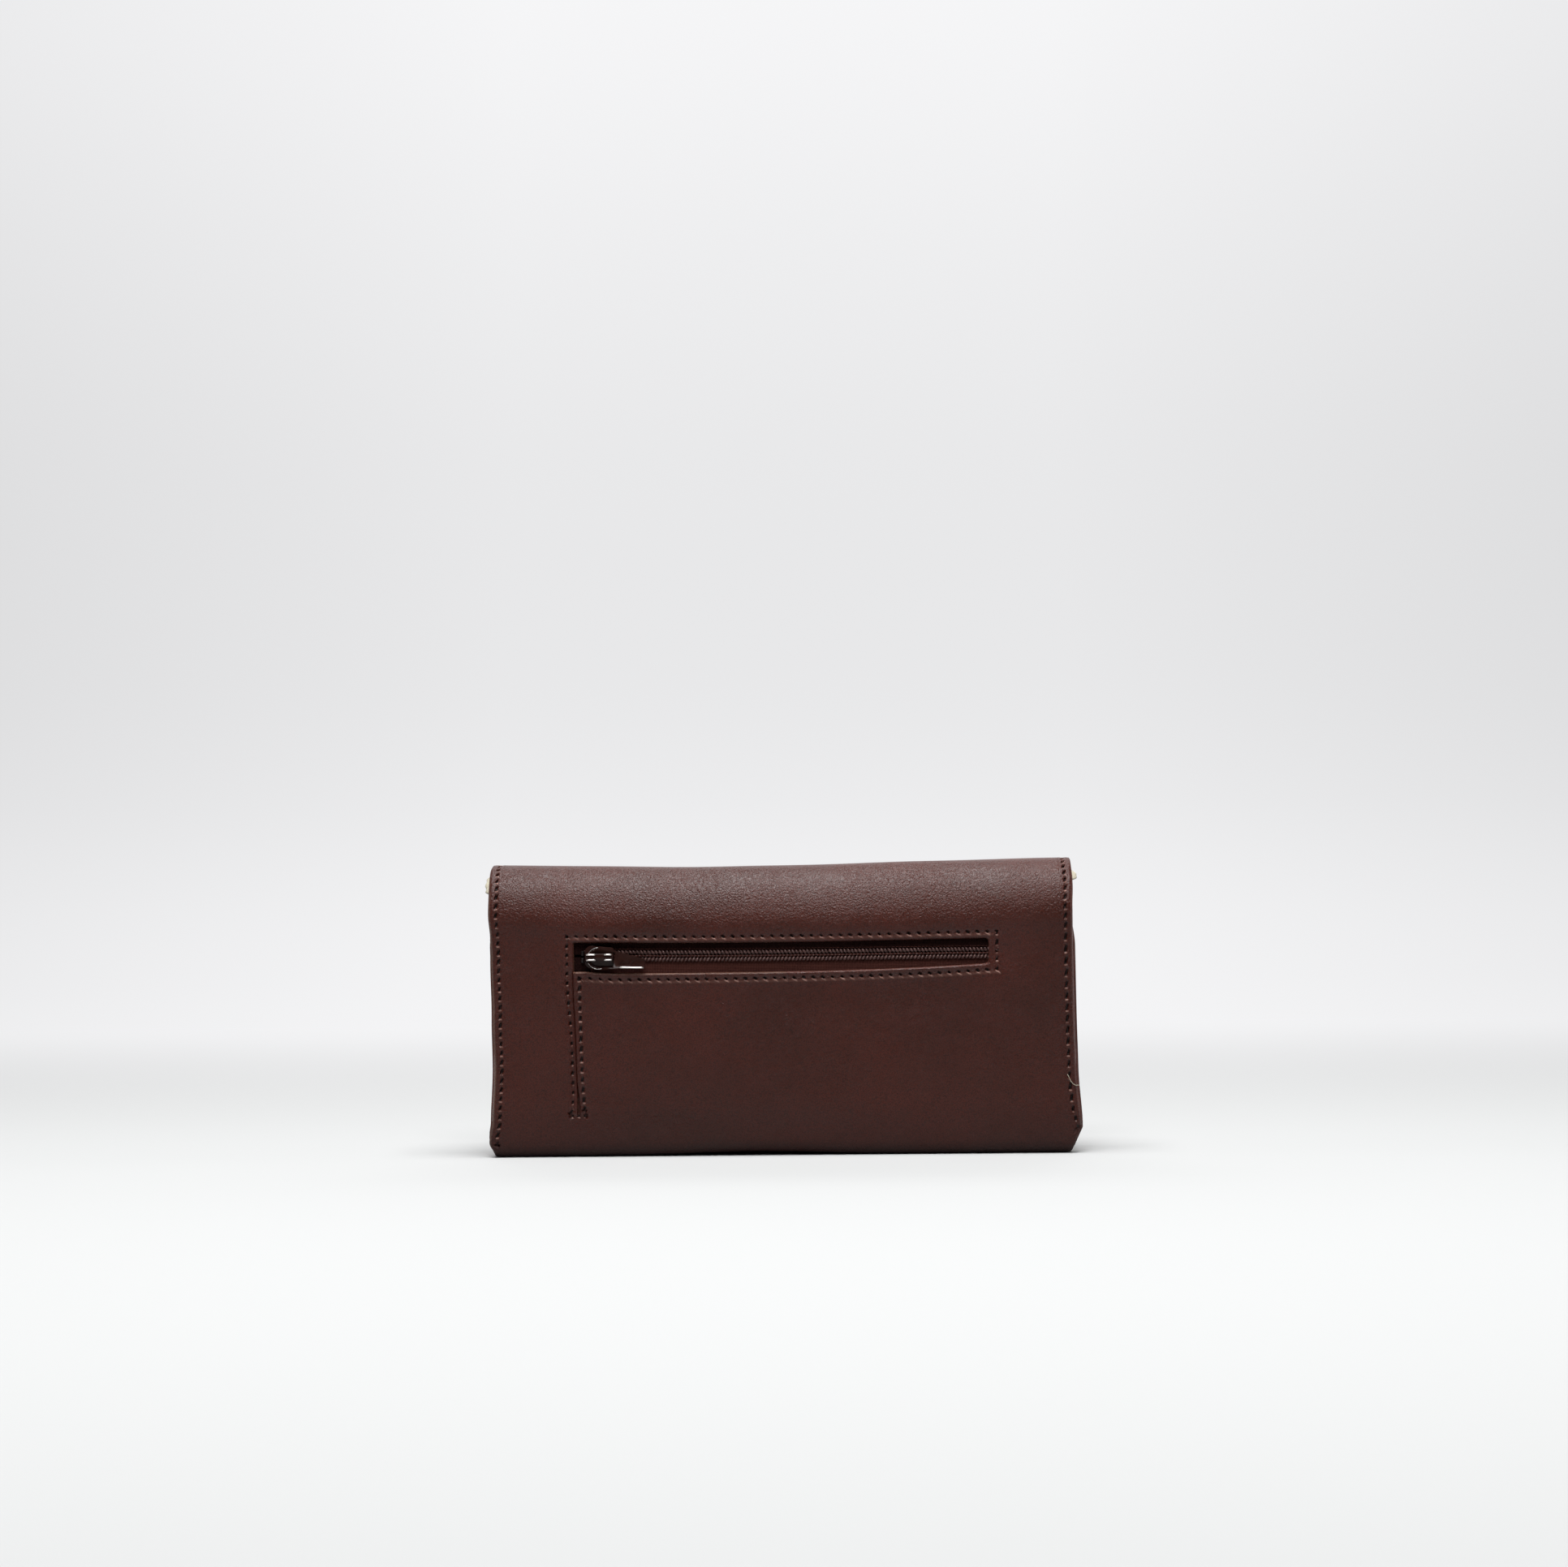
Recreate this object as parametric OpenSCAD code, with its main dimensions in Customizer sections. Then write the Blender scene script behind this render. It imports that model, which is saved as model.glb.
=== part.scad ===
// A long flap wallet with an outside zip pocket in its back.
// X runs across the pouch, the zip faces -Y, the flap closes on the +Y side and Z is up.
// Depths are measured inwards from the outer face of the back leather.

/* [Pouch] */
// Width across the foot of the back
base_w = 193; // [175:1:215]
// Width across the top fold
top_w = 190; // [172:1:212]
// Height, standing on its base
pouch_h = 96; // [92:1:115]
// Depth from the back leather to the flap leather
pouch_d = 27; // [26.5:0.5:34]
// Outer radius of the bend from the back into the base
base_bend_r = 4; // [2.5:0.5:5.5]
// Outer radius of the bend from the base into the front
front_bend_r = 3; // [2.2:0.2:4.4]
// How far the bottom corners are cut in
corner_in = 2; // [0.5:0.5:4]
// How far up the bottom corners are cut
corner_up = 8; // [5:1:14]

/* [Leather, board and lining] */
// Thickness of the back and base leather
back_t = 1.7; // [1.5:0.1:2.2]
// Thickness of the fold, flap and front leather
leather_t = 1.3; // [0.8:0.1:1.6]
// Thickness of the stiffening board in the flap and front
board_t = 0.6; // [0.4:0.1:0.8]
// Thickness of the lining cloth
lining_t = 0.5; // [0.3:0.1:0.6]
// How far the boards and linings stay inside the leather's edge
lining_inset = 1.5; // [1:0.5:4]
// Gap where one bending piece of leather passes into the next
bend_gap = 0.3; // [0.2:0.1:0.6]

/* [Zip pocket] */
// Distance from the back's left edge to the zip window
window_from_left = 25.9; // [20:0.1:32]
// Length of the zip window
window_len = 136.4; // [110:0.2:140]
// Height of the zip window
window_h = 10.2; // [9.4:0.2:12]
// Distance from the top of the pouch down to the zip's centre line
zip_from_top = 30; // [28:0.5:36]
// How far the window's middle lies below the zip's centre line
window_drop = 0.4; // [0:0.1:0.8]
// Length of the slit that runs down from the window's left end
slit_len = 46; // [20:1:48]
// Width of the slit
slit_w = 0.8; // [0.4:0.1:1.4]
// Room inside the pocket bag, front to back
bag_room = 4.8; // [4.7:0.1:5.4]
// Thickness of the pocket bag's cloth
bag_t = 0.4; // [0.3:0.1:0.6]
// Height of the bag's foot above the base
bag_low = 10; // [6:1:16]

/* [Zip] */
// Spacing of the coil's turns
coil_pitch = 1.22; // [1.1:0.02:1.6]
// Width over both coils
chain_w = 4.0; // [3.6:0.1:4.4]
// Thickness of the coils on their tape
coil_t = 1.3; // [1:0.1:1.4]
// Lean of each turn from upright
turn_lean = 24; // [0:1:35]
// Width of each tape
tape_w = 12.5; // [10:0.5:12.5]
// Thickness of the tapes
tape_t = 0.5; // [0.4:0.1:0.6]
// How far the tapes run on past each end of the window
tape_over = 5; // [3:0.5:8]
// Length of the stops at the zip's ends
stop_len = 1; // [1:0.1:2.4]

/* [Slider and pull] */
// Length of the slider
slider_len = 9.6; // [9.4:0.1:12]
// Width of the slider at its nose
slider_w = 7.4; // [6.8:0.1:8]
// Width of the slider at its tail
slider_tail_w = 6.2; // [5.8:0.1:6.6]
// Thickness of the slider's plates
plate_t = 0.7; // [0.6:0.1:0.9]
// Thickness of the neck that joins the plates
neck_t = 0.5; // [0.4:0.05:0.6]
// Clearance between the slider and what it runs on
slider_gap = 0.15; // [0.1:0.05:0.2]
// Width of the crown over the slider
crown_w = 2.3; // [1.8:0.1:2.5]
// Thickness of the crown
crown_t = 0.65; // [0.5:0.05:0.8]
// Diameter of the pull's round head
pull_head_d = 7.5; // [7.2:0.1:8.2]
// Length of the pull from its hinge bar to its tip
pull_len = 18.5; // [14:0.5:24]
// Width of the pull's tip
pull_tip_w = 3.2; // [2.6:0.1:4.5]
// Thickness of the pull and its hinge bar
pull_t = 1.1; // [0.9:0.05:1.2]
// Angle at which the loose pull hangs
pull_droop = 7; // [0:1:8]

/* [Flap and snap] */
// Height of the flap's lower edge above the base
flap_low = 14; // [8:1:24]
// Radius of the flap's corners
flap_corner_r = 12; // [4:1:20]
// Height of the snap above the base
snap_z = 26; // [24:1:36]
// Diameter of the snap's halves
snap_d = 14; // [11:0.5:16]
// Room between the flap and the front, which the snap fills
snap_room = 2.3; // [2.1:0.1:2.6]
// Thickness of the snap's socket
socket_t = 1.2; // [1.1:0.1:1.3]
// Diameter of the snap's pin
snap_pin_d = 4; // [3:0.2:5]

/* [Front, divider and card slots] */
// Height of the front's top edge above the base
front_top = 76; // [64:1:77]
// Height of the divider's top edge above the base
divider_top = 74; // [60:1:77]
// Thickness of the divider
divider_t = 0.8; // [0.6:0.1:1]
// Thickness of one card slot
slot_t = 0.5; // [0.4:0.1:0.6]
// Height of the lowest card slot's edge above the base
slot_low_top = 48; // [36:1:52]
// Step from one card slot's edge up to the next
slot_step = 9; // [6:0.5:10]
// Width of each column of card slots
slot_w = 78; // [60:1:80]

/* [Gussets] */
// Thickness of the gusset leather
gusset_t = 0.6; // [0.5:0.1:0.8]
// How far the gussets fold in from the sides
gusset_in = 8; // [6:0.5:9]
// How far the gussets' folds stand out past the back's edge
gusset_out = 0.6; // [0.2:0.1:1]

/* [Hidden] */

$fn = 64;
hair = 0.05;    // parts of one body that curve or fold beside each other
clear = 0.3;    // bodies that move past each other
through = 1;    // how far a cut runs on past the face that it opens

// Heights
fold_r = pouch_d / 2;
fold_z = pouch_h - fold_r;
zip_z = pouch_h - zip_from_top;
floor_z = back_t + lining_t;
gusset_top = fold_z - 3;

// Depths of each layer, from the back leather inwards
tape_d = back_t;
coil_d = tape_d - coil_t;
tape_back_d = tape_d + tape_t;
bag_back_d = tape_back_d + bag_t + bag_room;
back_lining_d = bag_back_d + bag_t + clear;
slots_d = back_lining_d + lining_t;
slots_end_d = slots_d + 3 * slot_t;
flap_d = pouch_d - leather_t;
flap_board_d = flap_d - board_t;
flap_lining_d = flap_board_d - lining_t;
front_face_d = flap_lining_d - snap_room;
front_d = front_face_d - leather_t;
front_board_d = front_d - board_t;
front_lining_d = front_board_d - lining_t;
divider_d = (slots_end_d + front_lining_d - divider_t) / 2;

// The slider's layers
plate_face_d = coil_d - slider_gap;
plate_out_d = plate_face_d - plate_t;
arch_room = pull_t * 1.5 + 0.2;
crown_rise = arch_room + crown_t - plate_out_d;

// The origin lies in the middle of the depth, crown included
back_y = (crown_rise - pouch_d) / 2;

// Places along the zip
window_x = window_from_left - side_x(zip_z);
window_end = window_x + window_len;
top_stop_x = window_x + 2;
slider_x = top_stop_x + stop_len + 2 * slider_gap + slider_len / 2;
chain_x = slider_x - slider_len / 2;
bottom_stop_x = window_end - 0.3 - stop_len;
chain_slot = neck_t + 0.2;

function side_x(z) = (base_w + (top_w - base_w) * z / pouch_h) / 2;
side_tilt = atan((base_w - top_w) / 2 / pouch_h);

// A folded strip follows its centre line, and its sharpest folds are blunted
blunt = 0.6;
function unit(v) = v / norm(v);
function left_of(v) = [-v[1], v[0]];
function strip_normal(p, i) =
  let (before = i > 0 ? unit(p[i] - p[i - 1]) : unit(p[1] - p[0]),
       after = i < len(p) - 1 ? unit(p[i + 1] - p[i]) : before,
       mid = unit(left_of(before) + left_of(after)))
  mid / max(mid * left_of(after), blunt);
function strip_edge(p, t) = [for (i = [0 : len(p) - 1]) p[i] + t * strip_normal(p, i)];
function reversed(p) = [for (i = [len(p) - 1 : -1 : 0]) p[i]];
function trimmed(p, ends) = [for (i = [ends : len(p) - 1 - ends]) p[i]];

// The strip between two offsets from its centre line, with some points left off both ends
module strip(points, from, to, ends = 0) {
  near = trimmed(strip_edge(points, from), ends);
  far = trimmed(strip_edge(points, to), ends);
  polygon(concat(near, reversed(far)));
}

// Stands an outline drawn in X and Z at a depth, with a thickness
module sheet(depth, thickness) {
  translate([0, back_y + depth + thickness, 0]) rotate([90, 0, 0])
    linear_extrude(thickness) children();
}

// Runs a profile drawn in depth and Z across the whole width
module across(width) {
  translate([-width / 2, back_y, 0]) rotate([90, 0, 90]) linear_extrude(width) children();
}

// The back's outline: narrower at the top, with its bottom corners cut
module face_outline(inset = 0) {
  half = [
    [side_x(0) - corner_in - inset, 0],
    [side_x(corner_up) - inset, corner_up],
    [side_x(pouch_h) - inset, pouch_h]
  ];
  polygon(concat(half, [for (i = [2 : -1 : 0]) [-half[i][0], half[i][1]]]));
}

// The part of that outline between two heights
module face_band(low, high, inset = 0) {
  intersection() {
    face_outline(inset);
    translate([-base_w, low]) square([2 * base_w, high - low]);
  }
}

module round_rect(size, r) {
  translate([r, 0]) square([size[0] - 2 * r, size[1]]);
  translate([0, r]) square([size[0], size[1] - 2 * r]);
  for (x = [r, size[0] - r], y = [r, size[1] - r]) translate([x, y]) circle(r);
}

// A quarter bend from its outer corner, towards +X and +Y of the profile
module quarter_bend(outer_r, thickness) {
  intersection() {
    translate([outer_r, outer_r]) difference() {
      circle(outer_r);
      circle(outer_r - thickness);
    }
    square(outer_r);
  }
}

// Back, with the zip's window and the slit that lets the pocket's corner open
module back_panel() {
  color("#41272a") difference() {
    sheet(0, back_t) difference() {
      face_band(base_bend_r, fold_z - bend_gap / 2);
      translate([window_x, zip_z - window_drop - window_h / 2]) square([window_len, window_h]);
      translate([window_x, zip_z - window_drop - window_h / 2 - slit_len]) square([slit_w, slit_len + through]);
    }
  }
}

// Base, bent up at the back and at the front
module base_panel() {
  color("#38211f") intersection() {
    across(base_w) {
      quarter_bend(base_bend_r, back_t);
      translate([base_bend_r, 0]) square([front_face_d - base_bend_r - front_bend_r, back_t]);
      translate([front_face_d, 0]) mirror([1, 0]) quarter_bend(front_bend_r, back_t);
    }
    sheet(-through, pouch_d + 2 * through) face_outline();
  }
}

module base_lining() {
  color("#d8cdb8") intersection() {
    across(base_w - 2 * lining_inset)
      translate([base_bend_r, back_t]) square([front_d - base_bend_r - front_bend_r, lining_t]);
    sheet(0, pouch_d) face_outline(lining_inset);
  }
}

// Lining of the back, set in behind the zip pocket and flat along the side seams
lining_half = side_x(0);
lining_in = side_x(fold_z) - lining_inset - gusset_in - 2;
lining_step = 4;
back_lining_path = [
  [-lining_half, back_t], [-lining_in, back_t],
  [-lining_in + lining_step, back_lining_d], [lining_in - lining_step, back_lining_d],
  [lining_in, back_t], [lining_half, back_t]
];
module back_lining() {
  color("#d8cdb8") intersection() {
    difference() {
      translate([0, back_y, floor_z + hair])
        linear_extrude(fold_z - 1 - floor_z) strip(back_lining_path, 0, lining_t);
      translate([-base_w, back_y, 0]) cube([2 * base_w, base_bend_r, base_bend_r + hair]);
    }
    sheet(0, pouch_d) face_outline(lining_inset);
  }
}

// Zip tapes, sewn behind the window
module zip_tape(side) {
  color("#2b1917") sheet(tape_d, tape_t)
    translate([window_x - tape_over, zip_z]) mirror([0, side < 0 ? 1 : 0])
      translate([0, chain_slot / 2]) square([window_len + 2 * tape_over, tape_w - chain_slot / 2]);
}
module zip_tape_upper() { zip_tape(1); }
module zip_tape_lower() { zip_tape(-1); }

// One row of the zip's coil: leaning turns, rounded over, on the cord that carries them
turn_w = coil_pitch * 0.62;
cord_t = coil_t * 0.45;
row_w = (chain_w - chain_slot) / 2;
turn_count = floor((bottom_stop_x - 0.2 - chain_x) / coil_pitch);
module turn_outline() {
  lean = tan(turn_lean) * row_w;
  polygon([[lean, 0], [lean + turn_w, 0], [turn_w, row_w], [0, row_w]]);
}
module zip_coil(side) {
  translate([chain_x, back_y, zip_z]) mirror([0, 0, side < 0 ? 1 : 0]) translate([0, 0, chain_slot / 2])
    union() {
      translate([0, tape_d - cord_t, row_w * 0.2]) cube([turn_count * coil_pitch, cord_t, row_w * 0.6]);
      intersection() {
        translate([0, tape_d, 0]) rotate([90, 0, 0]) linear_extrude(coil_t)
          for (i = [0 : turn_count - 2]) translate([i * coil_pitch, 0]) turn_outline();
        translate([0, tape_d, row_w / 2]) rotate([90, 0, 90])
          linear_extrude((turn_count + 1) * coil_pitch) coil_section();
      }
    }
}
// A turn seen along the zip: square on the tape, round on its outer side
module coil_section() {
  r = row_w / 2;
  translate([-coil_t + r, 0]) circle(r);
  translate([-coil_t + r, -r]) square([coil_t - r, 2 * r]);
}
module zip_coil_upper() { color("#5a3d3a") zip_coil(1); }
module zip_coil_lower() { color("#5a3d3a") zip_coil(-1); }

// Stops: one on each tape where the zip closes, and one across both where it ends
module zip_top_stops() {
  color("#33241f") for (side = [-1, 1])
    sheet(coil_d + slider_gap, coil_t - slider_gap)
      translate([top_stop_x, side > 0 ? zip_z + chain_slot / 2 : zip_z - chain_slot / 2 - row_w])
        round_rect([stop_len, row_w], stop_len / 4);
}
module zip_bottom_stop() {
  color("#33241f") sheet(coil_d + slider_gap, coil_t - slider_gap)
    translate([bottom_stop_x, zip_z - chain_w / 2]) round_rect([stop_len, chain_w], stop_len / 4);
}

// Pocket bag: its front hangs from the lower tape, its back from the upper one
bag_x = window_x - tape_over / 2;
bag_len = window_len + tape_over;
bag_top_z = zip_z + tape_w;
bag_mouth_low = zip_z - slider_w / 2 - 1.5;
bag_mouth_high = zip_z + slider_w / 2 + 1.5;
module pocket_bag_front() {
  color("#211715") sheet(tape_back_d, bag_t)
    translate([bag_x, bag_low]) square([bag_len, bag_mouth_low - bag_low]);
}
module pocket_bag_back() {
  color("#211715") difference() {
    translate([bag_x, back_y + tape_back_d, bag_low])
      cube([bag_len, bag_back_d + bag_t - tape_back_d, bag_top_z - bag_low]);
    translate([bag_x + bag_t, back_y + tape_back_d + bag_t, bag_low + bag_t])
      cube([bag_len - 2 * bag_t, bag_room, bag_top_z - bag_low - 2 * bag_t]);
    translate([bag_x - through, back_y + tape_back_d - through, bag_low - through])
      cube([bag_len + 2 * through, bag_t + through, bag_mouth_high - bag_low + through]);
  }
}

// Strip of thin leather sewn behind the slit
facing_w = 12;
module slit_facing() {
  top = zip_z - tape_w - clear;
  low = zip_z - window_drop - window_h / 2 - slit_len - 2;
  color("#2b1917") sheet(back_t, tape_t)
    translate([window_x + slit_w / 2 - facing_w / 2, low]) square([facing_w, top - low]);
}

// Side gussets: a leather strip folded in twice, with a lining on its inner side
gusset_back_d = back_t + lining_t + gusset_t / 2 + hair;
gusset_front_d = front_lining_d - clear - gusset_t / 2;
divider_mid_d = divider_d + divider_t / 2;
gusset_mid_out = 1;
gusset_path = [
  [gusset_in, gusset_back_d],
  [-gusset_out, gusset_back_d],
  [gusset_in, (gusset_back_d + divider_mid_d) / 2],
  [gusset_mid_out, divider_mid_d],
  [gusset_in, (gusset_front_d + divider_mid_d) / 2],
  [-gusset_out, gusset_front_d],
  [gusset_in, gusset_front_d]
];
gusset_low = floor_z + 0.4;
// Placed on the left side, leaning with the side's slope
module on_left_side(high) {
  translate([-side_x(gusset_low), back_y, gusset_low]) rotate([0, side_tilt, 0])
    linear_extrude(high - gusset_low) children();
}
module gusset() {
  on_left_side(gusset_top) strip(gusset_path, -gusset_t / 2, gusset_t / 2);
}
// Its lining follows the folds' inner side and stands up into the fold
gusset_lining_t = lining_t * 0.8;
module gusset_lining() {
  on_left_side(gusset_top)
    strip(gusset_path, -gusset_t / 2 - hair - gusset_lining_t, -gusset_t / 2 - hair, 1);
}
module left_gusset() { color("#4a2c2a") gusset(); }
module right_gusset() { color("#4a2c2a") mirror([1, 0, 0]) gusset(); }
module left_gusset_lining() { color("#d8cdb8") gusset_lining(); }
module right_gusset_lining() { color("#d8cdb8") mirror([1, 0, 0]) gusset_lining(); }

// Card slots: three sheets in two columns, each standing above the one before it
module card_slots(step) {
  sheet(slots_end_d - (step + 1) * slot_t, slot_t)
    for (column = [-1, 0])
      translate([column < 0 ? -slot_w - 1 : 1, floor_z + 2])
        square([slot_w, slot_low_top + step * slot_step - floor_z - 2]);
}
module card_slots_low() { color("#4a2c2a") card_slots(0); }
module card_slots_middle() { color("#4a2c2a") card_slots(1); }
module card_slots_high() { color("#4a2c2a") card_slots(2); }

// Top fold: the half round between the back and the flap
module fold_shell(outer_r, thickness, inset) {
  intersection() {
    across(base_w) intersection() {
      translate([fold_r, fold_z]) difference() {
        circle(outer_r, $fn = 128);
        circle(outer_r - thickness, $fn = 128);
      }
      translate([0, fold_z + bend_gap / 2]) square([pouch_d, fold_r]);
    }
    sheet(-through, pouch_d + 2 * through) face_outline(inset);
  }
}
module top_fold() { color("#4e3331") fold_shell(fold_r, leather_t, 0); }
module top_fold_lining() {
  color("#d8cdb8") fold_shell(fold_r - leather_t - hair, lining_t, lining_inset);
}

// Flap, with its corners rounded
module flap_outline(inset = 0) {
  low = flap_low + inset;
  r = flap_corner_r - inset;
  half_w = side_x(flap_low) - inset;
  intersection() {
    face_band(low, fold_z - bend_gap / 2, inset);
    union() {
      translate([-half_w, low + r]) square([2 * half_w, pouch_h]);
      translate([-half_w + r, low]) square([2 * (half_w - r), pouch_h]);
      for (side = [-1, 1]) translate([side * (half_w - r), low + r]) circle(r);
    }
  }
}
module at_snap() { translate([0, snap_z]) children(); }
shank_d = 3;
washer_d = snap_d * 0.7;
module flap_leather() { color("#41272a") sheet(flap_d, leather_t) flap_outline(); }
module flap_board() {
  color("#8b7355") sheet(flap_board_d, board_t) difference() {
    flap_outline(lining_inset);
    at_snap() circle(d = washer_d + 2 * clear);
  }
}
module flap_lining() {
  color("#d8cdb8") sheet(flap_lining_d, lining_t) difference() {
    flap_outline(lining_inset);
    at_snap() circle(d = shank_d + clear);
  }
}

// Snap: the stud's pin stands in the socket's hole when the flap is closed
stud_disc_t = snap_room - socket_t - clear;
snap_hole_d = snap_pin_d + 0.6;
module snap_stud() {
  color("#b09060") {
    sheet(flap_lining_d - stud_disc_t, stud_disc_t) at_snap() circle(d = snap_d - 1);
    sheet(flap_lining_d, lining_t) at_snap() circle(d = shank_d);
    sheet(front_face_d + clear, snap_room - stud_disc_t - clear) at_snap() circle(d = snap_pin_d);
  }
}
module stud_washer() {
  color("#a8a8a8") sheet(flap_board_d, board_t - hair) at_snap() circle(d = washer_d);
}
socket_wall = 0.3;
module snap_socket() {
  color("#b09060") {
    difference() {
      sheet(front_face_d, socket_t) at_snap() circle(d = snap_d);
      sheet(front_face_d - through, socket_t + 2 * through) at_snap() circle(d = snap_hole_d);
      sheet(front_face_d + socket_wall, socket_t - 2 * socket_wall) at_snap() difference() {
        circle(d = snap_d - 2 * socket_wall);
        circle(d = snap_hole_d + 2 * socket_wall);
      }
    }
    sheet(front_d, leather_t) at_snap() difference() {
      circle(d = snap_hole_d + 2 * socket_wall);
      circle(d = snap_hole_d);
    }
  }
}
module snap_magnet() {
  color("#6a6a6e") sheet(front_face_d + socket_wall, socket_t - 2 * socket_wall - hair)
    at_snap() difference() {
      circle(d = snap_d - 2 * socket_wall - 2 * hair);
      circle(d = snap_hole_d + 2 * socket_wall + 2 * hair);
    }
}
module socket_washer() {
  color("#a8a8a8") sheet(front_board_d + hair, board_t - hair) at_snap() difference() {
    circle(d = washer_d);
    circle(d = snap_hole_d);
  }
}

// Front, with its top corners rounded
front_low = front_bend_r + bend_gap;
front_corner_r = 6;
module front_outline(inset = 0) {
  half_w = side_x(front_top) - inset;
  r = front_corner_r;
  top = front_top - inset;
  intersection() {
    face_band(front_low, top, inset);
    union() {
      translate([-base_w, 0]) square([2 * base_w, top - r]);
      translate([-half_w + r, 0]) square([2 * (half_w - r), top]);
      for (side = [-1, 1]) translate([side * (half_w - r), top - r]) circle(r);
    }
  }
}
module front_leather() {
  color("#41272a") sheet(front_d, leather_t) difference() {
    front_outline();
    at_snap() circle(d = snap_hole_d + 2 * socket_wall + 2 * hair);
  }
}
module front_board() {
  color("#8b7355") sheet(front_board_d, board_t) difference() {
    front_outline(lining_inset);
    at_snap() circle(d = washer_d + 2 * clear);
  }
}
module front_lining() {
  color("#d8cdb8") sheet(front_lining_d, lining_t) front_outline(lining_inset);
}

// Divider, whose edges stand in the gussets' middle folds
divider_low = floor_z + clear;
module divider() {
  fold_run = gusset_in - gusset_mid_out;
  fold_rise = (gusset_front_d - divider_mid_d) / 2;
  reach = norm([fold_run, fold_rise]) / fold_rise;
  inset = gusset_mid_out + fold_run / fold_rise * divider_t / 2
    + (gusset_t / 2 + hair + gusset_lining_t) * reach + clear;
  color("#4a2c2a") sheet(divider_d, divider_t) face_band(divider_low, divider_top, inset);
}

// Slider: two plates that run over and under the tapes, joined by the neck between them
module slider_outline(extra = 0) {
  nose_r = 2.2;
  tail_r = 0.8;
  hull() for (side = [-1, 1]) {
    translate([-slider_len / 2 + nose_r, side * (slider_w / 2 - nose_r)]) circle(nose_r + extra, $fn = 32);
    translate([slider_len / 2 - tail_r, side * (slider_tail_w / 2 - tail_r)]) circle(tail_r + extra, $fn = 32);
  }
}
module at_slider() { translate([slider_x, zip_z]) children(); }
// The channel that the coils run through, which widens towards the nose
module slider_channel() {
  run = chain_w / 2 + slider_gap + 0.05;
  flare = slider_w / 2 - 0.6;
  reach = slider_len / 2 + through;
  polygon([[reach, run], [-slider_len * 0.1, run], [-reach, flare],
    [-reach, -flare], [-slider_len * 0.1, -run], [reach, -run]]);
}
module zip_slider() {
  neck_len = slider_len * 0.2;
  back_plate_d = tape_back_d + slider_gap;
  color("#2c2220") {
    sheet(plate_out_d, plate_t) at_slider() slider_outline();
    sheet(plate_face_d, tape_d - slider_gap - plate_face_d) at_slider() difference() {
      slider_outline();
      slider_channel();
    }
    sheet(plate_face_d, back_plate_d - plate_face_d) at_slider()
      translate([-slider_len * 0.44, -neck_t / 2]) round_rect([neck_len, neck_t], neck_t / 2 - 0.01);
    sheet(back_plate_d, plate_t) at_slider() slider_outline();
  }
}

// Crown: the arch on the slider that holds the pull's bar
crown_len = slider_len - 0.2;
module slider_crown() {
  rise = arch_room + crown_t;
  outer_r = 1.2;
  color("#2c2220")
    translate([slider_x - crown_len / 2, back_y + plate_out_d, zip_z - crown_w / 2])
      linear_extrude(crown_w) mirror([0, 1]) difference() {
        translate([0, -2 * outer_r]) round_rect([crown_len, rise + 2 * outer_r], outer_r);
        translate([crown_t, -2 * outer_r])
          round_rect([crown_len - 2 * crown_t, arch_room + 2 * outer_r], outer_r - crown_t);
        translate([-through, -2 * outer_r - through])
          square([crown_len + 2 * through, 2 * outer_r + through]);
      }
}

// Pull: a tapered tab whose eye goes round the crown and whose bar lies under it
bar_r = pull_t / 2;
bar_x = slider_x - crown_len / 2 + crown_t + slider_gap + bar_r;
bar_y = back_y + plate_out_d - arch_room / 2;
eye_rim = 0.7;
module pull_outline(shrink) {
  tip_r = 0.6;
  head_x = sqrt(pow(pull_head_d / 2, 2) - pow(crown_w / 2 + 0.8, 2));
  difference() {
    hull() {
      translate([head_x, 0]) circle(pull_head_d / 2 - shrink, $fn = 48);
      for (side = [-1, 1]) translate([pull_len - tip_r, side * (pull_tip_w / 2 - tip_r)])
        circle(tip_r, $fn = 24);
    }
    translate([-pull_head_d, -pull_head_d]) square([pull_head_d, 2 * pull_head_d]);
  }
}
module zip_pull() {
  eye_end = crown_len - crown_t - bar_r - slider_gap + clear;
  bar_len = crown_w + 1.6;
  rib_w = 0.35;
  rib_len = 1.4;
  rib_rise = 0.12;
  rib_lean = 28;
  color("#2c2220") translate([bar_x, bar_y, zip_z]) rotate([0, pull_droop, 0]) union() {
    translate([0, bar_r, 0]) rotate([90, 0, 0]) linear_extrude(pull_t) difference() {
      pull_outline(0);
      intersection() {
        pull_outline(eye_rim);
        translate([-through, -pull_head_d]) square([eye_end + through, 2 * pull_head_d]);
      }
    }
    translate([0, 0, -bar_len / 2]) cylinder(r = bar_r, h = bar_len, $fn = 48);
    for (i = [0 : 3]) translate([eye_end + 2.4 + i * 3.4 * rib_w, -bar_r - rib_rise, 0]) rotate([0, rib_lean, 0])
      translate([-rib_w / 2, 0, -rib_len / 2]) cube([rib_w, 2 * rib_rise, rib_len]);
  }
}

back_panel();
base_panel();
base_lining();
back_lining();
zip_tape_upper();
zip_tape_lower();
zip_coil_upper();
zip_coil_lower();
zip_top_stops();
zip_bottom_stop();
pocket_bag_front();
pocket_bag_back();
slit_facing();
left_gusset();
right_gusset();
left_gusset_lining();
right_gusset_lining();
card_slots_low();
card_slots_middle();
card_slots_high();
top_fold();
top_fold_lining();
flap_leather();
flap_board();
flap_lining();
snap_stud();
stud_washer();
front_leather();
front_board();
front_lining();
snap_socket();
snap_magnet();
socket_washer();
divider();
zip_slider();
slider_crown();
zip_pull();
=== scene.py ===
import math

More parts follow.
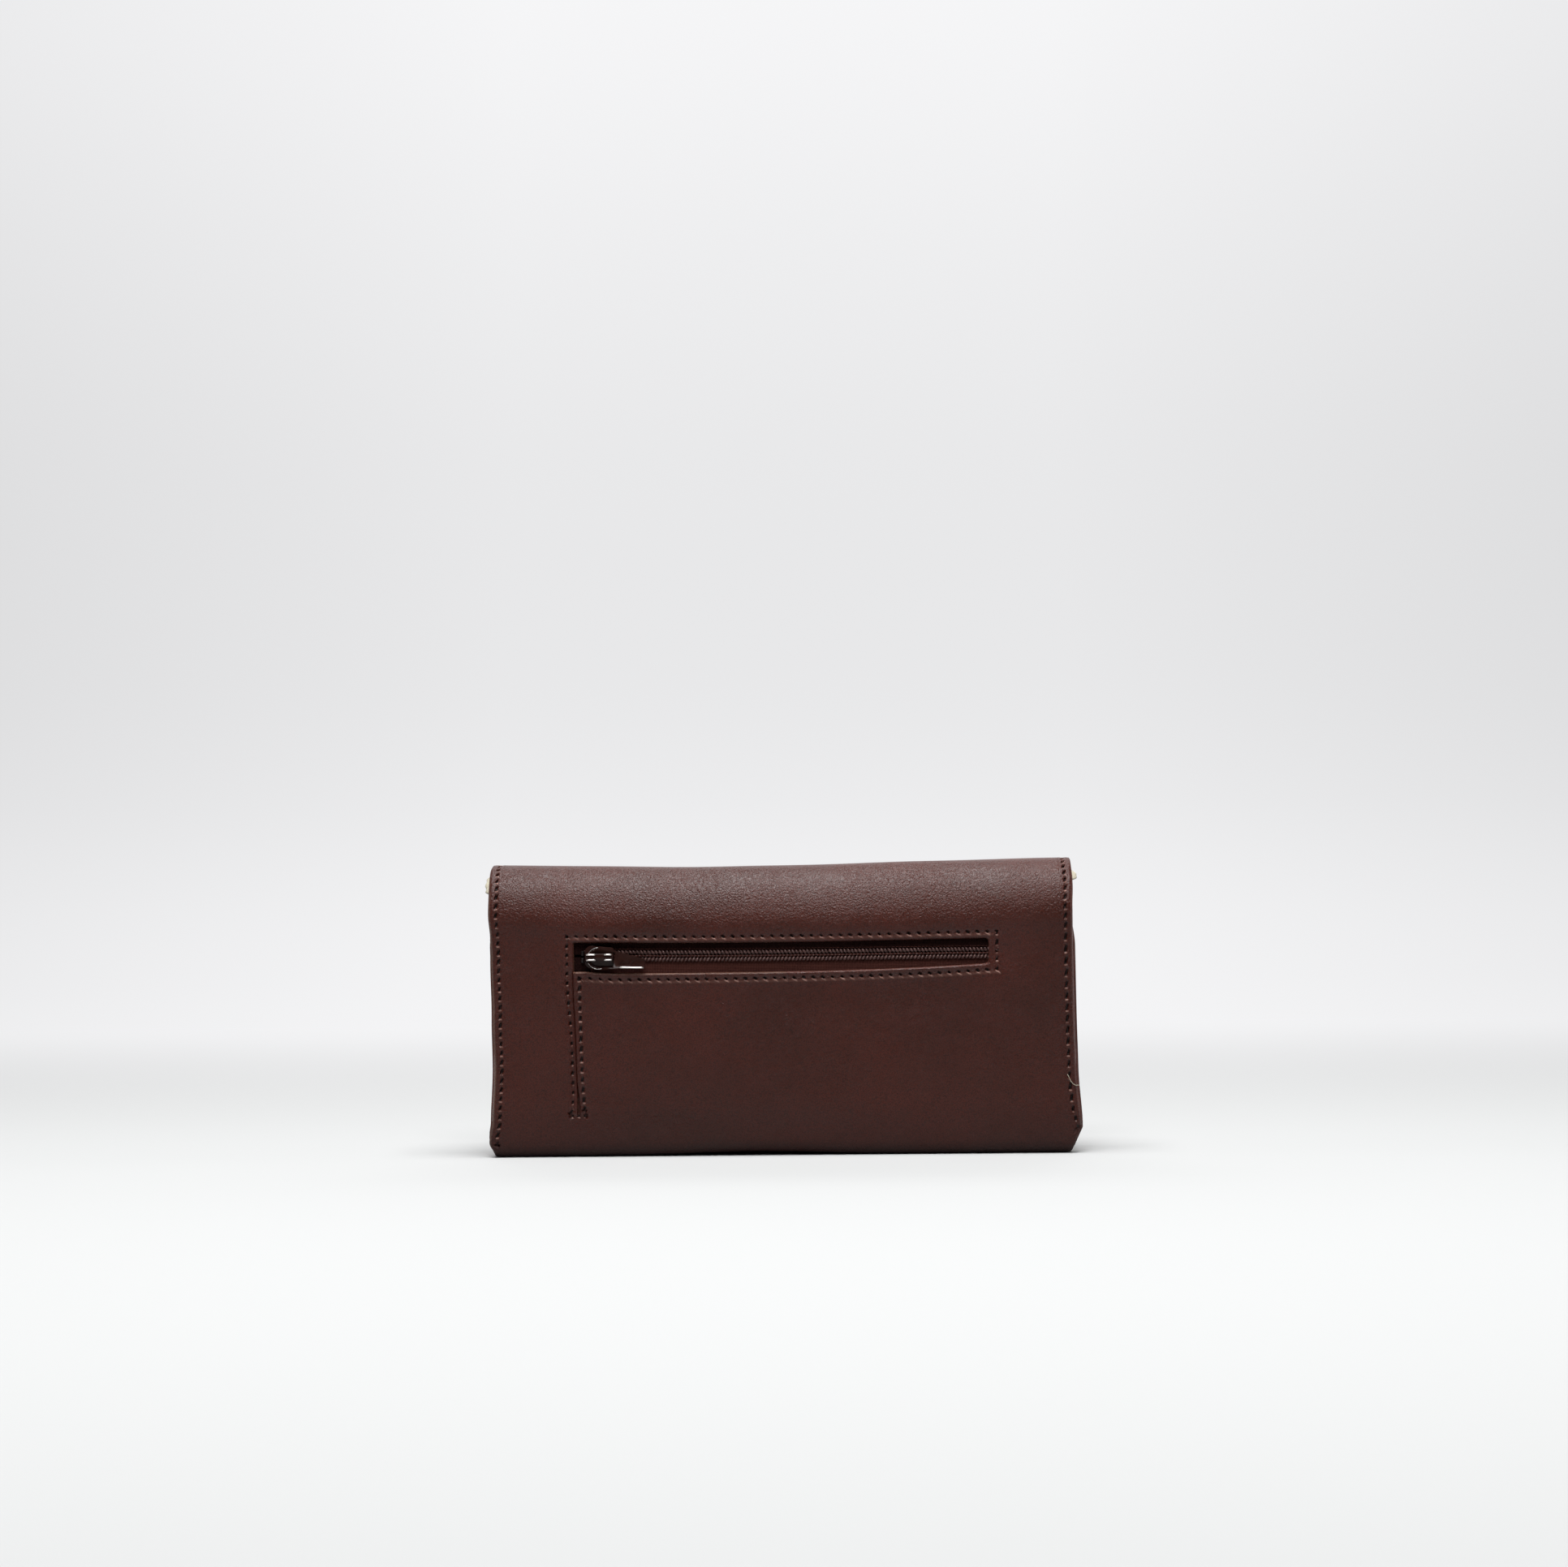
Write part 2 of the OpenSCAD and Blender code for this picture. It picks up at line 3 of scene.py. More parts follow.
import bmesh
import bpy
import numpy as np
from mathutils import Matrix, Vector


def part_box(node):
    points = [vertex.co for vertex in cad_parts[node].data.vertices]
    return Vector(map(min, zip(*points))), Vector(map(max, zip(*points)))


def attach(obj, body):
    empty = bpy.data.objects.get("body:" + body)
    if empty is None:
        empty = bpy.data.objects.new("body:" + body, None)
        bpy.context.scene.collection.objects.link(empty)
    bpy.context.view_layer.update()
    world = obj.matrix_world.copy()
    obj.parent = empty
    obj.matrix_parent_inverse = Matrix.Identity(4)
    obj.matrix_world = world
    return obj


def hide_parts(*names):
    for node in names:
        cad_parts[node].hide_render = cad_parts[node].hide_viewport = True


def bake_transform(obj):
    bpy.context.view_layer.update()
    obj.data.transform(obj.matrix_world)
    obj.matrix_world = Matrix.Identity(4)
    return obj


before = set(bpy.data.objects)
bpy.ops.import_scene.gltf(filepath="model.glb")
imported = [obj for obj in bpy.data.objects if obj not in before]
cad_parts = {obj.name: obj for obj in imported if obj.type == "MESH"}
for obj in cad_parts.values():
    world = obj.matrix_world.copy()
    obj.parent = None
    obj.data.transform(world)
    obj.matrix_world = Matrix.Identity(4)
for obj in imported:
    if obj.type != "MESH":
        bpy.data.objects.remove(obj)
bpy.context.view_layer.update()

scene = bpy.context.scene


# all lengths below are in millimetres, and meshMm turns them into metres
def nodeBox(node):
    low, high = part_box(node)
    return np.array(low) * 1000, np.array(high) * 1000


backLow, backHigh = nodeBox("back_panel")
foldLow, foldHigh = nodeBox("top_fold")
baseHigh = nodeBox("base_panel")[1]
flapLow, flapHigh = nodeBox("flap_leather")
frontLow, frontHigh = nodeBox("front_leather")
coilLow, coilHigh = nodeBox("zip_coil_upper")

backY = backLow[1]
backThick = backHigh[1] - backLow[1]
foldRadius = (foldHigh[1] - foldLow[1]) / 2
foldThick = flapHigh[1] - flapLow[1]
foldZ = foldHigh[2] - foldRadius
topZ = foldHigh[2]
baseBend = baseHigh[2]
frontFaceY = baseHigh[1]
cornerUp = 8.0
zipZ = (coilLow[2] + nodeBox("zip_coil_lower")[1][2]) / 2


# half the back's width at a height
def sideAt(z):
    slope = (foldHigh[0] - backHigh[0]) / (foldZ - cornerUp)
    return backHigh[0] + slope * (z - cornerUp)


def smooth(edge0, edge1, v):
    t = np.clip((np.asarray(v, float) - edge0) / (edge1 - edge0), 0, 1)
    return t * t * (3 - 2 * t)


def bump(centre, width, v):
    return np.exp(-((np.asarray(v, float) - centre) / width) ** 2)


# smooth steps through a few (place, value) stops
def eased(v, stops):
    result = np.full_like(np.asarray(v, float), stops[0][1])
    for (a, low), (b, high) in zip(stops[:-1], stops[1:]):
        result = result + (high - low) * smooth(a, b, v)
    return result


# the outer skin's path, by its length from the middle of the base: back bend, back, fold, flap
flatRun = -(backY + baseBend)
bendRun = flatRun + math.pi / 2 * baseBend
backRun = bendRun + foldZ - baseBend
apexRun = backRun + math.pi / 2 * foldRadius
foldRun = backRun + math.pi * foldRadius
flapRun = foldRun + foldZ - flapLow[2]


# the path's length at a height on the back
def runAt(z):
    return bendRun + z - baseBend


# Y and Z on the skin at a length along its path and a depth inwards
def skinPath(s, depth):
    s, depth = np.broadcast_arrays(np.asarray(s, float), np.asarray(depth, float))
    bendAngle = np.clip((s - flatRun) / baseBend, 0, math.pi / 2)
    foldAngle = np.clip((s - backRun) / foldRadius, 0, math.pi)
    bendR, foldR = baseBend - depth, foldRadius - depth
    y = np.where(s < flatRun, -s, backY + baseBend - bendR * np.sin(bendAngle))
    z = np.where(s < flatRun, depth, baseBend - bendR * np.cos(bendAngle))
    z = z + np.clip(s - bendRun, 0, backRun - bendRun)
    onFold = s > backRun
    y = np.where(onFold, backY + foldRadius - foldR * np.cos(foldAngle), y)
    z = np.where(onFold, foldZ + foldR * np.sin(foldAngle), z)
    return y, z - np.clip(s - foldRun, 0, None)


# draws the rear of the fold in: the soft back starts to curve below the fold, most in the middle
def foldEase(x, s):
    softStart = foldZ - 5.0 - 6.5 * np.clip(np.cos(x / 99 * math.pi / 2), 0, 1)
    angle = np.clip((s - backRun) / foldRadius, 0, math.pi / 2)
    up = np.where(s < backRun, s - bendRun + baseBend, foldZ + foldRadius * np.sin(angle))

    def quarter(start, radius):
        return np.sqrt(np.clip(1 - (np.clip(up - start, 0, None) / radius) ** 2, 0, 1))

    ease = foldRadius * (quarter(foldZ, foldRadius) - quarter(softStart, topZ - softStart))
    return np.where(s < apexRun, ease, 0)


# grid lines that close up towards each stop
def gridLines(stops, step, fine=0.16, growth=0.5):
    lines = [stops[0]]
    for a, b in zip(stops[:-1], stops[1:]):
        t = np.linspace(a, b, 400)
        gap = np.minimum(step, fine + growth * np.minimum(t - a, b - t))
        total = np.concatenate([[0], np.cumsum((t[1:] - t[:-1]) * 2 / (gap[1:] + gap[:-1]))])
        count = max(1, int(round(total[-1])))
        lines += list(np.interp(np.linspace(0, total[-1], count + 1)[1:], total, t))
    return np.array(lines)


def linked(name, data):
    obj = bpy.data.objects.new(name, data)
    scene.collection.objects.link(obj)
    return obj


def smoothFaces(mesh):
    mesh.polygons.foreach_set("use_smooth", np.full(len(mesh.polygons), True))


def meshMm(name, points, faces, materials, faceMaterials=None):
    mesh = bpy.data.meshes.new(name)
    mesh.from_pydata((np.asarray(points, float) * 0.001).tolist(), [], [list(map(int, f)) for f in faces])
    for material in materials:
        mesh.materials.append(material)
    if faceMaterials is not None:
        mesh.polygons.foreach_set("material_index", np.asarray(faceMaterials, np.int32))
    smoothFaces(mesh)
    mesh.update()
    return linked(name, mesh)


# the points that some faces use, and the faces counted on them
def onlyUsed(points, faces):
    used = np.unique(faces)
    remap = np.zeros(len(points), int)
    remap[used] = np.arange(len(used))
    return used, remap[faces]


# a closed sheet between two grids of points, with a rim round every kept patch in the second material
def shell(name, outer, inner, materials, keep=None, flip=False):
    rows, cols = outer.shape[:2]
    if keep is None:
        keep = np.ones((rows - 1, cols - 1), bool)
    index = np.arange(rows * cols).reshape(rows, cols)
    points = np.concatenate([outer.reshape(-1, 3), inner.reshape(-1, 3)])
    shift = rows * cols
    a, b, c, d = index[:-1, :-1][keep], index[:-1, 1:][keep], index[1:, 1:][keep], index[1:, :-1][keep]
    top = np.stack([a, b, c, d], 1)
    bottom = np.stack([d, c, b, a], 1) + shift
    padded = np.zeros((rows + 1, cols + 1), bool)
    padded[1:-1, 1:-1] = keep
    above, below = padded[:-1, 1:-1], padded[1:, 1:-1]   # the cells on both sides of each grid edge
    left, right = padded[1:-1, :-1], padded[1:-1, 1:]
    rims = []
    for mask, down, along, swap in (
            (below & ~above, 0, 1, True), (above & ~below, 0, 1, False),
            (right & ~left, 1, 0, False), (left & ~right, 1, 0, True)):
        i, j = np.nonzero(mask)
        p, q = index[i, j], index[i + down, j + along]
        if swap:
            p, q = q, p
        rims.append(np.stack([p, q, q + shift, p + shift], 1))
    rim = np.concatenate(rims)
    faces = np.concatenate([top, bottom, rim])
    slots = np.concatenate([np.zeros(2 * len(top), int), np.full(len(rim), min(1, len(materials) - 1))])
    if flip:
        faces = faces[:, ::-1]
    used, faces = onlyUsed(points, faces)
    return meshMm(name, points[used], faces, materials, slots)


# materials are built from these small helpers
def newMaterial(name):
    material = bpy.data.materials.new(name)
    material.use_nodes = True
    return material, material.node_tree, material.node_tree.nodes["Principled BSDF"].inputs


def srgb(*levels):
    return tuple(((c / 255 + 0.055) / 1.055) ** 2.4 if c > 10 else c / 255 / 12.92 for c in levels) + (1.0,)


def feed(sockets, values):
    for key, value in values.items():
        socket = sockets[key]
        if isinstance(value, bpy.types.NodeSocket):
            socket.id_data.links.new(value, socket)
        else:
            socket.default_value = value


def addNode(tree, kind, inputs=None, **settings):
    node = tree.nodes.new("ShaderNode" + kind)
    for key, value in settings.items():
        setattr(node, key, value)
    feed(node.inputs, inputs or {})
    return node


def noise(tree, place, scale, detail=3.0, roughness=0.5, distortion=0.0, out="Fac"):
    return addNode(tree, "TexNoise", {
        "Vector": place, "Scale": scale, "Detail": detail, "Roughness": roughness,
        "Distortion": distortion}).outputs[out]


def ranged(tree, source, low, high, toLow, toHigh):
    return addNode(tree, "MapRange", {
        "Value": source, "From Min": low, "From Max": high, "To Min": toLow,
        "To Max": toHigh}).outputs["Result"]


def maths(tree, operation, a, b):
    return addNode(tree, "Math", {0: a, 1: b}, operation=operation).outputs[0]


# the sockets of a colour mix: 0 factor, 6 and 7 the two colours, 2 the result
def mixed(tree, factor, a, b):
    return addNode(tree, "Mix", {0: factor, 6: a, 7: b}, data_type="RGBA").outputs[2]


def relief(tree, height, depthMm, strength=1.0):
    return addNode(tree, "Bump", {"Height": height, "Distance": depthMm * 0.001, "Strength": strength})


def attribute(tree, name):
    return addNode(tree, "Attribute", attribute_name=name).outputs["Fac"]


# near-black tone of the painted shade at the foot, where the leather meets the floor
footShade = (0.004, 0.0016, 0.0014, 1)
poreTone = (0.006, 0.002, 0.0016, 1)


# smooth leather: mottled colour, pebble cells, fine creases and a patchy sheen
def leatherMaterial(name, look):
    material, tree, shader = newMaterial(name)
    place = addNode(tree, "TexCoord").outputs["Object"]
    broad, patch, fine = (noise(tree, place, *look[key]) for key in ("broad", "patch", "fine"))
    tone = mixed(tree, ranged(tree, broad, 0.34, 0.66, 0, 1), look["dark"], look["light"])
    tone = mixed(tree, ranged(tree, patch, 0.5, 0.8, 0, 0.5), tone, look["red"])
    tone = mixed(tree, ranged(tree, fine, 0.3, 0.7, 0.0, 0.6), tone, look["dark"])
    drift = noise(tree, place, *look["drift"], out="Color")
    bent = addNode(tree, "VectorMath", {0: drift, "Scale": look["warp"]}, operation="SCALE").outputs[0]
    moved = addNode(tree, "VectorMath", {0: place, 1: bent}, operation="ADD").outputs[0]
    cells = addNode(tree, "TexVoronoi", {
        "Vector": moved, "Scale": 1000 / look["cell"], "Smoothness": 0.6}, feature="SMOOTH_F1")
    pores = addNode(tree, "TexVoronoi", {
        "Vector": moved, "Scale": 1000 / look["cell"] * look["poresPerCell"]})
    poreDistance = pores.outputs["Distance"]
    creases = ranged(tree, noise(tree, moved, *look["creases"]), 0.40, 0.52, 1, 0)
    cellDepth, poreDepth, creaseDepth = look["depths"]
    grain = maths(tree, "MULTIPLY", cells.outputs["Distance"], -cellDepth)
    for source, weight in ((poreDistance, -poreDepth), (creases, -creaseDepth)):
        grain = maths(tree, "ADD", grain, maths(tree, "MULTIPLY", source, weight))
    strength = ranged(tree, patch, 0.3, 0.7, look["grainLow"], look["grainHigh"])
    pebbles = relief(tree, grain, look["relief"], strength)
    dust = relief(tree, fine, *look["dust"])
    feed(dust.inputs, {"Normal": pebbles.outputs[0]})
    axes = addNode(tree, "SeparateXYZ", {0: place}).outputs
    # rims take a lighter edge tone by the rim attribute: partly edge wear, partly painted highlight
    edgeTone = mixed(tree, maths(tree, "GREATER_THAN", axes["X"], 0.0), look["rimLeft"], look["rimRight"])
    wearAndHighlight = maths(tree, "MULTIPLY", attribute(tree, "rim"), ranged(tree, patch, 0.3, 0.7, 0.55, 1.0))
    tone = mixed(tree, wearAndHighlight, tone, edgeTone)
    # painted shade: the leather darkens towards the floor by its height
    height = ranged(tree, axes["Z"], *look["foot"], 0.0, 1.0)
    unshadedShare = ranged(tree, maths(tree, "POWER", height, 0.45), 0, 1, look["footOwnShare"], 1.0)
    tone = mixed(tree, unshadedShare, footShade, tone)       # painted shade darkening the foot towards the floor
    tone = mixed(tree, ranged(tree, poreDistance, 0.30, 0.75, 0.0, look["pits"]), tone, poreTone)
    rough = ranged(tree, broad, 0.3, 0.7, look["roughLow"], look["roughHigh"])
    rough = maths(tree, "ADD", rough, ranged(tree, height, 0, 0.6, 0.35, 0))
    feed(shader, {
        "Base Color": tone, "Roughness": rough, "Normal": dust.outputs[0],
        "Specular IOR Level": look["specular"]})
    return material


outerLook = {
    "dark": srgb(76, 31, 20), "light": srgb(93, 38, 26), "red": srgb(93, 35, 25),
    # scale, detail and roughness of the noises
    "broad": (28, 4, 0.55), "patch": (75, 3, 0.5), "fine": (2600, 3, 0.6), "drift": (420, 2, 0.5),
    "creases": (950, 3, 0.65, 0.8),
    "cell": 0.66, "poresPerCell": 1.8, "warp": 0.0006, "relief": 0.17, "grainLow": 0.68, "grainHigh": 0.9,
    "depths": (0.9, 0.55, 0.28),        # how deep the cells, pores and creases go
    "dust": (0.02, 0.2),                # depth (mm) and strength of the finest unevenness
    "roughLow": 0.29, "roughHigh": 0.36, "specular": 0.35,
    # edge tones of the rims: partly edge wear, partly painted highlight
    "rimLeft": srgb(138, 98, 80), "rimRight": srgb(128, 74, 64), "pits": 0.5,
    "foot": (0.001, 0.018), "footOwnShare": 0.12,     # heights (m) over which painted shade darkens the foot, and how much of the leather's own tone stays at the very bottom
}
# the gusset leather is painted lighter than the outer leather: painted light standing in for the lamp light
# its sides hardly get
brightenedGussetLook = dict(
    outerLook, dark=srgb(104, 57, 49), light=srgb(130, 75, 64), red=srgb(138, 74, 64), relief=0.06)
outerLeather = leatherMaterial("outerLeather", outerLook)
brightenedGussetLeather = leatherMaterial("brightenedGussetLeather", brightenedGussetLook)


# the outer leather round the needle holes: painted shade dark in each hole and a painted highlight on its
# lip, by the mesh's attributes
def seamMaterial():
    material = outerLeather.copy()
    material.name = "seamLeather"
    tree = material.node_tree
    shader = tree.nodes["Principled BSDF"].inputs
    tone = shader["Base Color"].links[0].from_socket
    wearAndHighlight = maths(tree, "MULTIPLY", attribute(tree, "lip"), 0.95)
    # painted highlight on each hole's lip
    tone = mixed(tree, wearAndHighlight, tone, srgb(192, 144, 130))
    # painted shade in each needle hole
    feed(shader, {"Base Color": mixed(tree, attribute(tree, "hole"), tone, srgb(14, 8, 7))})
    return material


seamLeather = seamMaterial()


# two tones mixed by noise, with a fine uneven surface
def plainMaterial(name, low, high, scale, roughness, bumpScale=0, bumpDepth=0, metallic=0.0, specular=0.5):
    material, tree, shader = newMaterial(name)
    place = addNode(tree, "TexCoord").outputs["Object"]
    fac = noise(tree, place, scale, 4, 0.6)
    feed(shader, {
        "Base Color": mixed(tree, ranged(tree, fac, 0.35, 0.65, 0, 1), low, high),
        "Roughness": ranged(tree, fac, 0.3, 0.7, roughness * 0.85, roughness * 1.15),
        "Metallic": metallic, "Specular IOR Level": specular})
    if bumpDepth:
        surface = relief(tree, noise(tree, place, bumpScale, 3, 0.6), bumpDepth, 0.8)
        feed(shader, {"Normal": surface.outputs[0]})
    return material


# woven cloth: two crossed sets of threads in the object's own axes, or leaning ones, with loose fibres
def weaveMaterial(name, low, high, pitch, roughness=0.85, sheen=0.2, depth=0.06, twill=0.0, specular=0.5):
    material, tree, shader = newMaterial(name)
    place = addNode(tree, "TexCoord").outputs["Object"]
    axes = addNode(tree, "SeparateXYZ", {0: place}).outputs
    waves = []
    for axis, other in (("X", "Z"), ("Z", "X"), ("Y", "Y")):
        leaning = maths(tree, "MULTIPLY", axes[other], -twill if axis == "Z" else twill)
        turn = maths(tree, "MULTIPLY", maths(tree, "ADD", axes[axis], leaning), 2 * math.pi * 1000 / pitch)
        waves.append(maths(tree, "SINE", turn, 0))
    crossed = maths(tree, "MULTIPLY", waves[0], waves[1])
    crossed = maths(tree, "ADD", crossed, maths(tree, "MULTIPLY", waves[2], 0.25))
    fibre = noise(tree, place, 1800, 3, 0.7)
    height = maths(tree, "ADD", crossed, maths(tree, "MULTIPLY", fibre, 1.2))
    feed(shader, {
        "Base Color": mixed(tree, ranged(tree, height, -0.8, 1.6, 0, 1), low, high),
        "Normal": relief(tree, height, depth, 0.9).outputs[0],
        "Roughness": roughness, "Sheen Weight": sheen, "Specular IOR Level": specular})
    return material


edgePaint = plainMaterial("cutEdge", srgb(92, 62, 50), srgb(140, 102, 82), 900, 0.7, 1500, 0.08)
threadBrown = plainMaterial("brownThread", srgb(62, 33, 27), srgb(88, 50, 42), 3000, 0.5, 4000, 0.06, 0, 0.35)
creamCloth = weaveMaterial("creamLining", srgb(196, 186, 160), srgb(232, 225, 205), 0.55)
pocketCloth = weaveMaterial("pocketCloth", srgb(22, 14, 13), srgb(44, 29, 27), 0.5)
tapeWeave = weaveMaterial("tapeWeave", srgb(40, 19, 17), srgb(128, 78, 69), 0.78, 0.8, 0.0, 0.16, 1.0, 0.12)
tapeShade = weaveMaterial("tapeShade", srgb(18, 9, 8), srgb(56, 30, 27), 0.78, 0.9, 0.0, 0.14, 1.0, 0.12)
coilNylon = plainMaterial("coilNylon", srgb(78, 52, 48), srgb(118, 86, 81), 600, 0.33)
enamel = plainMaterial("darkEnamel", srgb(46, 26, 22), srgb(60, 36, 31), 120, 0.2, 1500, 0.006, 0.0, 0.15)
wornMetal = plainMaterial("wornMetal", srgb(206, 200, 196), srgb(232, 228, 224), 300, 0.34, metallic=1.0)
# near-black stops: painted shade, so that they sink into the dark recess at the window's ends
stopShadeTone = plainMaterial("stopShadeTone", srgb(20, 12, 11), srgb(30, 19, 17), 200, 0.45, specular=0.3)
brassOld = plainMaterial("oldBrass", srgb(138, 106, 62), srgb(176, 142, 92), 300, 0.3, 1200, 0.02, 1.0)
steelPlain = plainMaterial("plainSteel", srgb(150, 150, 152), srgb(184, 184, 186), 500, 0.32, 1500, 0.02, 1.0)
ferrite = plainMaterial("ferrite", srgb(58, 58, 60), srgb(84, 84, 88), 500, 0.6, 1500, 0.04)
fibreBoard = plainMaterial("fibreBoard", srgb(120, 98, 72), srgb(156, 132, 102), 900, 0.85, 2500, 0.08)
print("materials made")

# shapes that the skin's pieces share
window = {
    "left": -69.9, "right": 66.83, "top": 70.7, "lip": 60.5,
    "lipRise": 1.9, "leftRise": 0.9,     # how much higher the lip stands at its right and left ends
    "corner": 1.2,
    "slitWidth": 0.8, "slitFoot": 14.5, "slitLean": 0.8,
    "cornerLift": 1.3, "cornerReach": 3.4,      # how far the pocket's free corner stands out, and how widely
    "lipLift": 0.5, "lipReach": 3.0, "slitCreep": 1.05, "seamOff": 2.3, "rim": 0.75,
}
body = {
    "side": sideAt(50), "sideRound": 1.5, "topSharper": 0.95, "slitRound": 0.65, "cornerUp": 8.5,
    "cutLeft": 0.4, "cutRight": 2.5, "puff": 0.45, "brow": 0.8,
    # how far the top stands above or sags below its true height, at places across
    "topSag": [(-96, 0.3), (-25, -0.8), (-5, -0.8), (95, 1.6)],
    "baseArch": 1.35, "archMiddle": -10.0, "archWidth": 28.0,
    # creep of the left and right edges at heights above the base
    "creepLeft": [
        (0, 0.8), (5, 2.05), (12, 1.1), (28, 0.5), (46, 1.1), (66, 1.85), (72, 2.2), (80, 2.95), (97, 2.8)],
    "creepRight": [
        (0, 0.2), (5, 0.1), (9, 0.75), (28, -0.5), (46, -0.7), (66, -0.65), (80, -0.5), (88, -0.1),
        (97, -0.25)],
}
seam = {
    "trough": 1.05, "fromWindow": 2.1, "fromSide": 2.5, "pull": 0.26,
    "threadRadius": 0.29, "threadDepth": 0.40,
    "reach": 0.85, "step": 0.16,        # half the fine grid over a seam, and its strip's step along
}
slitSeam, cornerSeam = (window["left"] + side * window["seamOff"] for side in (-1, 1))
flapCorner = 12.0
flapLowRun = flapRun - runAt(0)          # the flap's low edge, as an unrolled height
apexUp = apexRun - runAt(0)
half = body["side"]


# real height of a place on the skin, from its unrolled height
def skinHeight(up):
    return skinPath(runAt(up), 0)[1]


# how much a low corner is cut off at a height
def cornerCut(z, amount):
    return np.clip(1 - z / body["cornerUp"], 0, 1) ** 1.3 * amount


# moves the skin's nominal sides onto the real outline: tapered, crept and cut at the low corners
def sideMove(x, up):
    z = skinHeight(up)
    onBack = 1 - smooth(foldZ + 12, foldZ + 40, up)
    near = smooth(70, half, np.abs(x))
    result = x
    for sign, side in ((-1, "Left"), (1, "Right")):
        creep = eased(z, body["creep" + side]) * onBack
        move = sideAt(z) - half + creep - cornerCut(z, body["cut" + side]) * onBack
        result = result + np.where(np.sign(x) == sign, sign * move * near, 0)
    return result


# draws the leather in round the window's two right corners
def roundCorners(x, up):
    r = window["corner"]
    moveX, moveUp = 0, 0
    for edge, way in ((window["lip"], 1), (window["top"], -1)):
        u, v = (x - window["right"]) / r + 1, (edge - up) * way / r + 1
        inX, inUp = np.clip(u, 0, 1), np.clip(v, 0, 1)
        fade = np.exp(-(np.clip(u - 1, 0, None) + np.clip(v - 1, 0, None)) * r / 0.7)
        moveX = moveX + r * inX * (np.sqrt(1 - inUp ** 2 / 2) - 1) * fade
        moveUp = moveUp - way * r * inUp * (np.sqrt(1 - inX ** 2 / 2) - 1) * fade
    return x + moveX, up + moveUp


# the bowed lip and the leaning slit, with its seam creeping to it, then the sides
def warp(x, up):
    x, up = roundCorners(x, up)
    left, right, lip = window["left"], window["right"], window["lip"]
    along = np.clip((x - left) / (right - left), 0, 1.02)
    rise = window["lipRise"] * along ** 4 + 0.3 * along + window["leftRise"] * bump(left, 8, x)
    under = smooth(20, 58.5, up) * (1 - smooth(lip, window["top"] - 1, up))
    lift = rise * under * (1 - smooth(right + 2, right + 16, x)) * smooth(-90, -60, x)
    down = 1 - smooth(window["slitFoot"], lip, up)
    shift = window["slitLean"] * down * bump(left, 16, x) * smooth(2, 12, up)
    drawn = bump(slitSeam, 1.9, x) * (1 - smooth(38, 58, up)) * smooth(12, 20, up)
    return sideMove(x + shift + drawn, up), up + lift


# how far the pocket's free edges stand out, and how far they creep over the slit
def pocketEdge(x, up):
    fromSlit = x - window["left"] - window["slitWidth"]
    down = smooth(window["slitFoot"] + 0.5, window["slitFoot"] + 12, up)
    inside = (up <= window["lip"] + 0.01) & (fromSlit >= -0.01)
    upper = smooth(window["slitFoot"] + 10, window["lip"], up)
    slitLift = (0.75 + 0.25 * upper) * window["cornerLift"] * down
    slitLift = slitLift * np.exp(-(np.clip(fromSlit, 0, None) / window["cornerReach"]) ** 1.6)
    right = window["right"]
    lipLift = window["lipLift"] * np.exp(-(np.clip(window["lip"] - up, 0, None) / window["lipReach"]) ** 1.6)
    lipLift = lipLift * (1 - smooth(right - 10, right + 1, x)) * (x <= right + 1)
    lift = np.where(inside, np.sqrt(slitLift ** 2 + lipLift ** 2), 0)
    creep = np.where(inside, -window["slitCreep"] * down * np.exp(-np.clip(fromSlit, 0, None) / 2.0), 0)
    return lift, creep


# broad, soft unevenness of the skin
def puff(x, up):
    rising = smooth(3, 20, up)
    across = np.clip(np.cos(x / 99 * math.pi / 2), 0, 1) ** 0.5
    h = body["puff"] * rising * (1 - smooth(foldZ - 8, foldZ + 4, up)) * across
    h = h + body["brow"] * smooth(71, 78, up) * (1 - smooth(foldZ - 3, foldZ + 12, up)) * across
    h = h + 0.55 * bump(30, 19, up) * across
    h = h + 0.22 * np.sin(x / 23 + 0.6) * np.sin(up / 17 + 1.1) * rising
    h = h + 0.10 * np.sin(x / 9.5 + up / 14) * np.sin(up / 8.2 - x / 31) * rising
    h = h + 0.16 * np.sin(x / 31 + 2.0) * smooth(foldZ - 10, foldZ + 6, up)
    h = h - (h + 0.25) * bump(73, 8, x) * bump(65, 6, up)     # pressed in where the pull rests when open
    return h - 0.8 * bump(window["left"] - 0.6, 2.4, x) * smooth(14, 26, up) * (1 - smooth(58, 63, up))


# the top stands higher at the right and sags in the middle
def topSag(x, z):
    return eased(x, body["topSag"]) * smooth(50, 97, z)


# the base arches off the floor a little in its middle, at the back
def baseLift(x, y, z):
    near = (1 - smooth(2, 24, z)) * (1 - smooth(3, 11, y - backY))
    return body["baseArch"] * np.exp(-((x - body["archMiddle"]) / body["archWidth"]) ** 2) * near


# a point of the skin: depth goes inwards from the nominal face, height stands out from the real one
def skinPoint(x, up, depth, height=0.0):
    lift, creep = pocketEdge(x, up)
    px, pUp = warp(x + creep, up)
    outwards = lift + np.where(np.asarray(depth) > 0.3, 0, puff(x, up) + height)
    y, z = skinPath(runAt(pUp), depth - outwards)
    y = y + foldEase(px, runAt(pUp))
    z = z + topSag(px, z) + baseLift(px, y, z) * (np.asarray(depth) < 0.3)
    z = np.maximum(z, 0.01 + np.clip(depth, 0, None) * 0.9 * (up < 2))
    return np.stack([px, y, z], -1)


